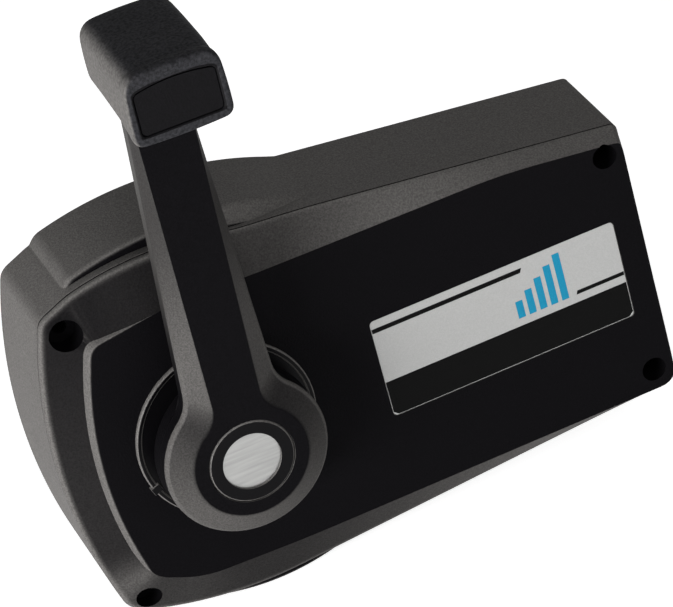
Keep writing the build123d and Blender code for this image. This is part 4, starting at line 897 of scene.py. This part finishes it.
class BuildLabel(bpy.types.Operator):
    """Silver label with its lines, dark band and graduated bars"""

    bl_idname = "control.build_label"
    bl_label = "Label"

    def execute(self, context):
        dress("label_plate", "label_silver", thin_round)
        low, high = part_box("label_plate")
        left, right = low.x / MM, high.x / MM
        bottom, top = low.z / MM, high.z / MM
        face = -low.y / MM
        edge_left, edge_right, edge_low = (
            left + print_margin, right - print_margin, bottom + print_margin
        )
        band_top = top - band_share * (top - bottom)
        first, last = left + bars_start * (right - left), left + bars_end * (right - left)
        upper, end = top - line_top * (top - bottom), left + line_end * (right - left)
        lower = band_top + lower_line_rise
        shapes = {
            "label_band": [
                (edge_left, bottom + band_corner_height), (left + band_corner, edge_low),
                (right - band_corner, edge_low), (edge_right, bottom + band_corner_height),
                (edge_right, band_top), (edge_left, band_top),
            ],
            "label_line_upper": [
                (edge_left, upper - upper_line), (end - 0.8, upper - upper_line),
                (end, upper), (edge_left, upper),
            ],
            "label_line_lower": [
                (last + 1.4, lower - lower_line), (edge_right, lower - lower_line),
                (edge_right, lower), (last + 2.0, lower),
            ],
        }
        for name, corners in shapes.items():
            printed_shape(name, corners, face, "label_black")
        count = context.scene.control_looks.bar_count
        pitch = (last - first) / count
        foot = band_top + bar_rise
        for index in range(count):
            start = first + index * pitch
            head = foot + (upper - foot) * (first_bar + (1 - first_bar) * index / (count - 1))
            width = bar_share * pitch
            printed_shape(
                f"label_bar_{index + 1}",
                [(start, foot), (start + width, foot), (start + width, head), (start, head)],
                face, "label_blue",
            )
        return {"FINISHED"}


def coil_spring(node, axis, wire, turns):
    """A wound spring for a CAD spring."""
    low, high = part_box(node)
    ahead = Vector([1.0 if name == axis else 0.0 for name in "xyz"])
    aside = Vector((0.0, 0.0, 1.0))
    across = ahead.cross(aside)
    middle = (low + high) / 2
    length = (high - low).dot(ahead)
    radius = (high - low).dot(aside) / 2 - wire
    start = middle - ahead * (length / 2 - wire)
    steps = turns * turn_steps
    points = []
    for step in range(steps + 1):
        turn = 2 * pi * turns * step / steps
        out = aside * cos(turn) + across * sin(turn)
        centre = start + ahead * (length - 2 * wire) * step / steps + out * radius
        for side in range(wire_sides):
            angle = 2 * pi * side / wire_sides
            points.append(centre + (out * cos(angle) + ahead * sin(angle)) * wire)
    faces = ring_faces(wire_sides, steps + 1)
    spring = mesh_piece(node + "_coil", points, faces, "spring_wire", "box")
    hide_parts(node)
    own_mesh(spring)
    return spring


class BuildMechanism(bpy.types.Operator):
    """Shaft, gears, crank, detent and cable fittings inside the housing"""

    bl_idname = "control.build_mechanism"
    bl_label = "Mechanism"

    def execute(self, context):
        finishes = {
            "plated_steel": [
                "main_shaft", "gear_spacer", "throttle_crank", "throttle_pin", "shift_stud",
                "shift_arm", "arm_spacer", "shift_pin", "detent_arm", "detent_pivot_pin",
                "roller_pin", "clamp_screws", "hub_washer", "hub_nut", "push_rod",
            ],
            "cut_steel": ["drive_gear", "shift_sector"],
            "spring_wire": [
                "shaft_clip", "throttle_clip", "shift_clip", "shift_pin_clip",
            ],
            "turned_brass": ["throttle_swivel", "shift_swivel"],
            "natural_plastic": ["main_bush", "rear_bush", "shift_bush", "detent_roller"],
            "cast_alloy": [
                "throttle_clamp_base", "throttle_clamp_plate", "shift_clamp_base",
                "shift_clamp_plate",
            ],
        }
        for finish, group in finishes.items():
            for node in group:
                dress(node, finish)
        coil_spring(
            "detent_spring", "x", detent_wire * MM, detent_turns,
        )
        spring = coil_spring(
            "button_spring", "y", button_wire * MM, button_turns,
        )
        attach(spring, "lever")
        return {"FINISHED"}


def lever_outline(hub, root_half, tip_half, blend):
    """Hub circle with the tapering arm rising from it."""
    joint = sqrt(hub * hub - root_half * root_half)
    corners = [
        (-root_half, joint), (-tip_half, arm_tip_z), (tip_half, arm_tip_z), (root_half, joint),
    ]
    return outline(
        corners, (blend, 0.8, 0.8, blend), (0.0, 0.0, 0.0, joint + hub), (16, 6, 16, skirt_steps)
    )


def hub_circle(radius):
    """Circle with as many points, in the same order, as the lever's outline."""
    joint = sqrt(hub_radius**2 - arm_root_half**2) * radius / hub_radius
    side = arm_root_half * radius / hub_radius
    count = len(lever_outline(hub_radius, arm_root_half, arm_tip_half, 6.0))
    around = skirt_steps + 1 + corner_steps
    above = count - around
    half_turn = atan2(side, joint)
    angles = [half_turn * (2 * i / above - 1) for i in range(above)]
    angles += [half_turn + (2 * pi - 2 * half_turn) * i / around for i in range(around)]
    return [Vector((radius * sin(angle), radius * cos(angle))) for angle in angles]


def lever_cut(points, low, high):
    """A straight solid of the lever between two heights."""
    return solid_of_rings("cut", [lever_place(points, low), lever_place(points, high)])


def on_flank(spot):
    """Side walls of the arm and the skirt of the hub, below the round of the rim, which take painted
    shade near the hub and painted light higher up the arm.
    """
    return -spot.y < hub_rim_top - 1.55


class BuildLever(bpy.types.Operator):
    """Lever arm with its hub, back strip and screws"""

    bl_idname = "control.build_lever"
    bl_label = "Lever"

    def execute(self, context):
        wide = lever_outline(hub_radius, arm_root_half, arm_tip_half, 6.5)
        face = lever_outline(hub_face_radius, arm_face_root_half, arm_face_tip_half, 7.5)
        levels = [
            lever_place(hub_circle(hub_neck_radius), hub_foot),
            lever_place(hub_circle(hub_neck_radius), hub_neck_top),
            lever_place(hub_circle(hub_radius), hub_neck_top),
            lever_place(hub_circle(hub_radius), arm_back),
            lever_place(wide, arm_back),
            lever_place(wide, hub_rim_top),
            lever_place(face, hub_face),
            lever_place([point * 0.97 for point in face], hub_face),
        ]
        arm = solid_of_rings("lever_body", soft_loft(levels, (0.8, 0.8, 0.5, 1.0, 1.6, 1.3)))
        strip = rectangle(-strip_half, strip_half, strip_low, strip_high, 3.0)
        recess = round_outline(button_recess_radius)
        bush_room = round_outline(bush_room_radius)
        cuts = [
            lever_cut(strip, arm_back - 1, arm_back + strip_depth),
            lever_cut(recess, button_recess_floor, hub_face + 1),
            lever_cut(bush_room, hub_foot - 1, bush_room_floor),
        ]
        shape_with(arm, cuts)
        finished(arm, "lever_black", "lever", soft_round)
        # painted shade on the hub's skirt and lower flanks, painted light higher up the arm
        lined(arm, "lever_flank", on_flank)
        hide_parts("lever_arm")
        dress("arm_back_cover", "trim_black", small_round)
        dress("arm_cover_screws", "plated_steel", thin_round)
        return {"FINISHED"}


class BuildButton(bpy.types.Operator):
    """Button in the hub with its silver disc"""

    bl_idname = "control.build_button"
    bl_label = "Button"

    def execute(self, context):
        dress("button_cap", "collar_black", small_round)
        dress("button_disc", "brushed_disc", thin_round)
        return {"FINISHED"}


def grip_section(half_top, half_low, top, low):
    """Section of the grip across the lever: crowned top, soft corners, slightly full sides."""
    corners = [(-half_top, top), (half_top, top), (half_low, low), (-half_low, low)]
    return outline(corners, grip_corners, grip_bows, grip_steps)


def pad_outline(gap, corner):
    """Opening for the grip's front pad, grown by gap."""
    corners = [
        (-pad_half - gap, pad_high + gap), (pad_half + gap, pad_high + gap),
        (pad_half + gap, pad_low - gap), (-pad_half - gap, pad_low - gap),
    ]
    return outline(corners, (corner,) * 4, (pad_bow, 0.0, 0.0, 0.0), grip_steps)


def in_pad_recess(spot):
    """Walls of the recess that holds the front pad."""
    across = spot.x * cos(lever_lean) - spot.z * sin(lever_lean)
    along = spot.z * cos(lever_lean) + spot.x * sin(lever_lean)
    inside = abs(across) < pad_half + 0.8 and pad_low - 0.8 < along < pad_high + pad_bow + 0.8
    return inside and -spot.y > pad_floor - 0.1


class BuildGrip(bpy.types.Operator):
    """Grip with its inset front"""

    bl_idname = "control.build_grip"
    bl_label = "Grip"

    def execute(self, context):
        levels = [lever_place(grip_section(*row[:4]), row[4]) for row in grip_sections]
        back = toward(grip_section(*grip_sections[0][:4]), grip_middle, 0.45)
        levels.insert(0, lever_place(back, grip_back))
        seat = pad_outline(pad_fit, 2.1)
        levels += [
            lever_place(pad_outline(pad_lip, 2.6), grip_front),
            lever_place(seat, grip_front - pad_lip_depth),
            lever_place(seat, pad_floor),
            lever_place(pad_outline(-3.0, 2.0), pad_floor),
        ]
        body = solid_of_rings("grip_body", soft_loft(levels, grip_reaches, 6))
        socket = [Vector(corner) for corner in (
            (-socket_half, socket_low), (-socket_half, socket_high),
            (socket_half, socket_high), (socket_half, socket_low),
        )]
        cut = lever_cut(socket, socket_back, socket_front)
        shape_with(body, [cut])
        finished(body, "rubber_grain", "lever")
        lined(body, "grip_inset", in_pad_recess)
        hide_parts("grip")
        dress("grip_pad", "grip_inset", small_round)
        dress("grip_screw", "plated_steel", thin_round)
        return {"FINISHED"}


def area_lamp(name, place, target, size, power):
    """A soft white lamp that points at its target."""
    lamp = bpy.data.lights.new(name, "AREA")
    lamp.shape = "RECTANGLE"
    lamp.size, lamp.size_y = size
    lamp.energy = power
    holder = bpy.data.objects.new(name, lamp)
    holder.location = place
    holder.rotation_mode = "QUATERNION"
    ahead = Vector(target) - Vector(place)
    holder.rotation_quaternion = ahead.to_track_quat("-Z", "Y")
    bpy.context.scene.collection.objects.link(holder)


def studio_world():
    """Plain white surroundings, brighter behind the part than in front of it."""
    world = bpy.data.worlds.new("studio")
    world.use_nodes = True
    bpy.context.scene.world = world
    tree = world.node_tree
    sky = tree.nodes["Background"]
    sky.inputs["Color"].default_value = (1.0, 1.0, 1.0, 1.0)
    place = tree.nodes.new("ShaderNodeTexCoord")
    split = tree.nodes.new("ShaderNodeSeparateXYZ")
    tree.links.new(place.outputs["Generated"], split.inputs["Vector"])
    level = ranged(tree, split.outputs["Y"], (-0.7, 0.5))
    level.inputs["To Min"].default_value = world_front
    level.inputs["To Max"].default_value = world_back
    tree.links.new(level.outputs["Result"], sky.inputs["Strength"])


class BuildStage(bpy.types.Operator):
    """Pale floor, soft lamps and the camera"""

    bl_idname = "control.build_stage"
    bl_label = "Stage"

    def execute(self, context):
        scene = context.scene
        looks = scene.control_stage
        scene.view_settings.view_transform = "Standard"

        floor_z = cad_box[0][2] - floor_gap
        signs = ((-1, -1), (1, -1), (1, 1), (-1, 1))
        corners = [(x * floor_reach, y * floor_reach, floor_z) for x, y in signs]
        floor = new_object("floor", corners, [(0, 1, 2, 3)])
        material, tree, shader = principled("pale_floor")
        shader.inputs["Base Color"].default_value = (0.86, 0.86, 0.86, 1.0)
        shader.inputs["Roughness"].default_value = 0.9
        shader.inputs["Specular IOR Level"].default_value = 0.1
        rays = tree.nodes.new("ShaderNodeLightPath")
        seen = rays.outputs["Is Camera Ray"]
        for kind in ("Is Glossy Ray", "Is Transmission Ray"):
            seen = calculated(tree, "MAXIMUM", seen, rays.outputs[kind])
        glow = spread(tree, seen, 0.0, floor_glow)
        tree.links.new(glow, shader.inputs["Emission Strength"])
        shader.inputs["Emission Color"].default_value = (1.0, 1.0, 1.0, 1.0)
        floor.data.materials.append(material)

        studio_world()
        for lamp in lamps:
            area_lamp(*lamp)

        a, e, t = looks.azimuth, looks.elevation, looks.roll
        ahead = Vector((-sin(a) * cos(e), cos(a) * cos(e), -sin(e)))
        level = Vector((cos(a), sin(a), 0.0))
        above = level.cross(ahead)
        across = level * cos(t) - above * sin(t)
        up = level * sin(t) + above * cos(t)
        lens = bpy.data.cameras.new("camera")
        lens.sensor_width = 36.0
        lens.lens = looks.lens
        lens.clip_start = 0.05
        lens.clip_end = 60.0
        camera = bpy.data.objects.new("camera", lens)
        scene.collection.objects.link(camera)
        turn = Matrix((across, up, -ahead)).transposed().to_4x4()
        camera.matrix_world = Matrix.Translation(Vector(looks.place)) @ turn
        scene.camera = camera
        return {"FINISHED"}


class ControlPanel(bpy.types.Panel):
    bl_idname = "VIEW3D_PT_boat_control"
    bl_label = "Boat control"
    bl_space_type = "VIEW_3D"
    bl_region_type = "UI"
    bl_category = "Boat control"

    def draw(self, context):
        for settings in (context.scene.control_looks, context.scene.control_stage):
            box = self.layout.box()
            for name in settings.__annotations__:
                box.prop(settings, name)
        for operator in operators:
            self.layout.operator(operator.bl_idname)


operators = (
    BuildHousing, BuildLabel, BuildMechanism, BuildLever, BuildButton, BuildGrip, BuildStage,
)
classes = (ControlLooks, StageLooks, *operators, ControlPanel)


def register():
    for item in classes:
        bpy.utils.register_class(item)
    bpy.types.Scene.control_looks = PointerProperty(type=ControlLooks)
    bpy.types.Scene.control_stage = PointerProperty(type=StageLooks)


def unregister():
    del bpy.types.Scene.control_looks
    del bpy.types.Scene.control_stage
    for item in reversed(classes):
        bpy.utils.unregister_class(item)


def main():
    register()
    grain_group()
    brush_group()
    for operator in operators:
        family, call = operator.bl_idname.split(".")
        getattr(getattr(bpy.ops, family), call)()


if __name__ == "__main__":
    main()
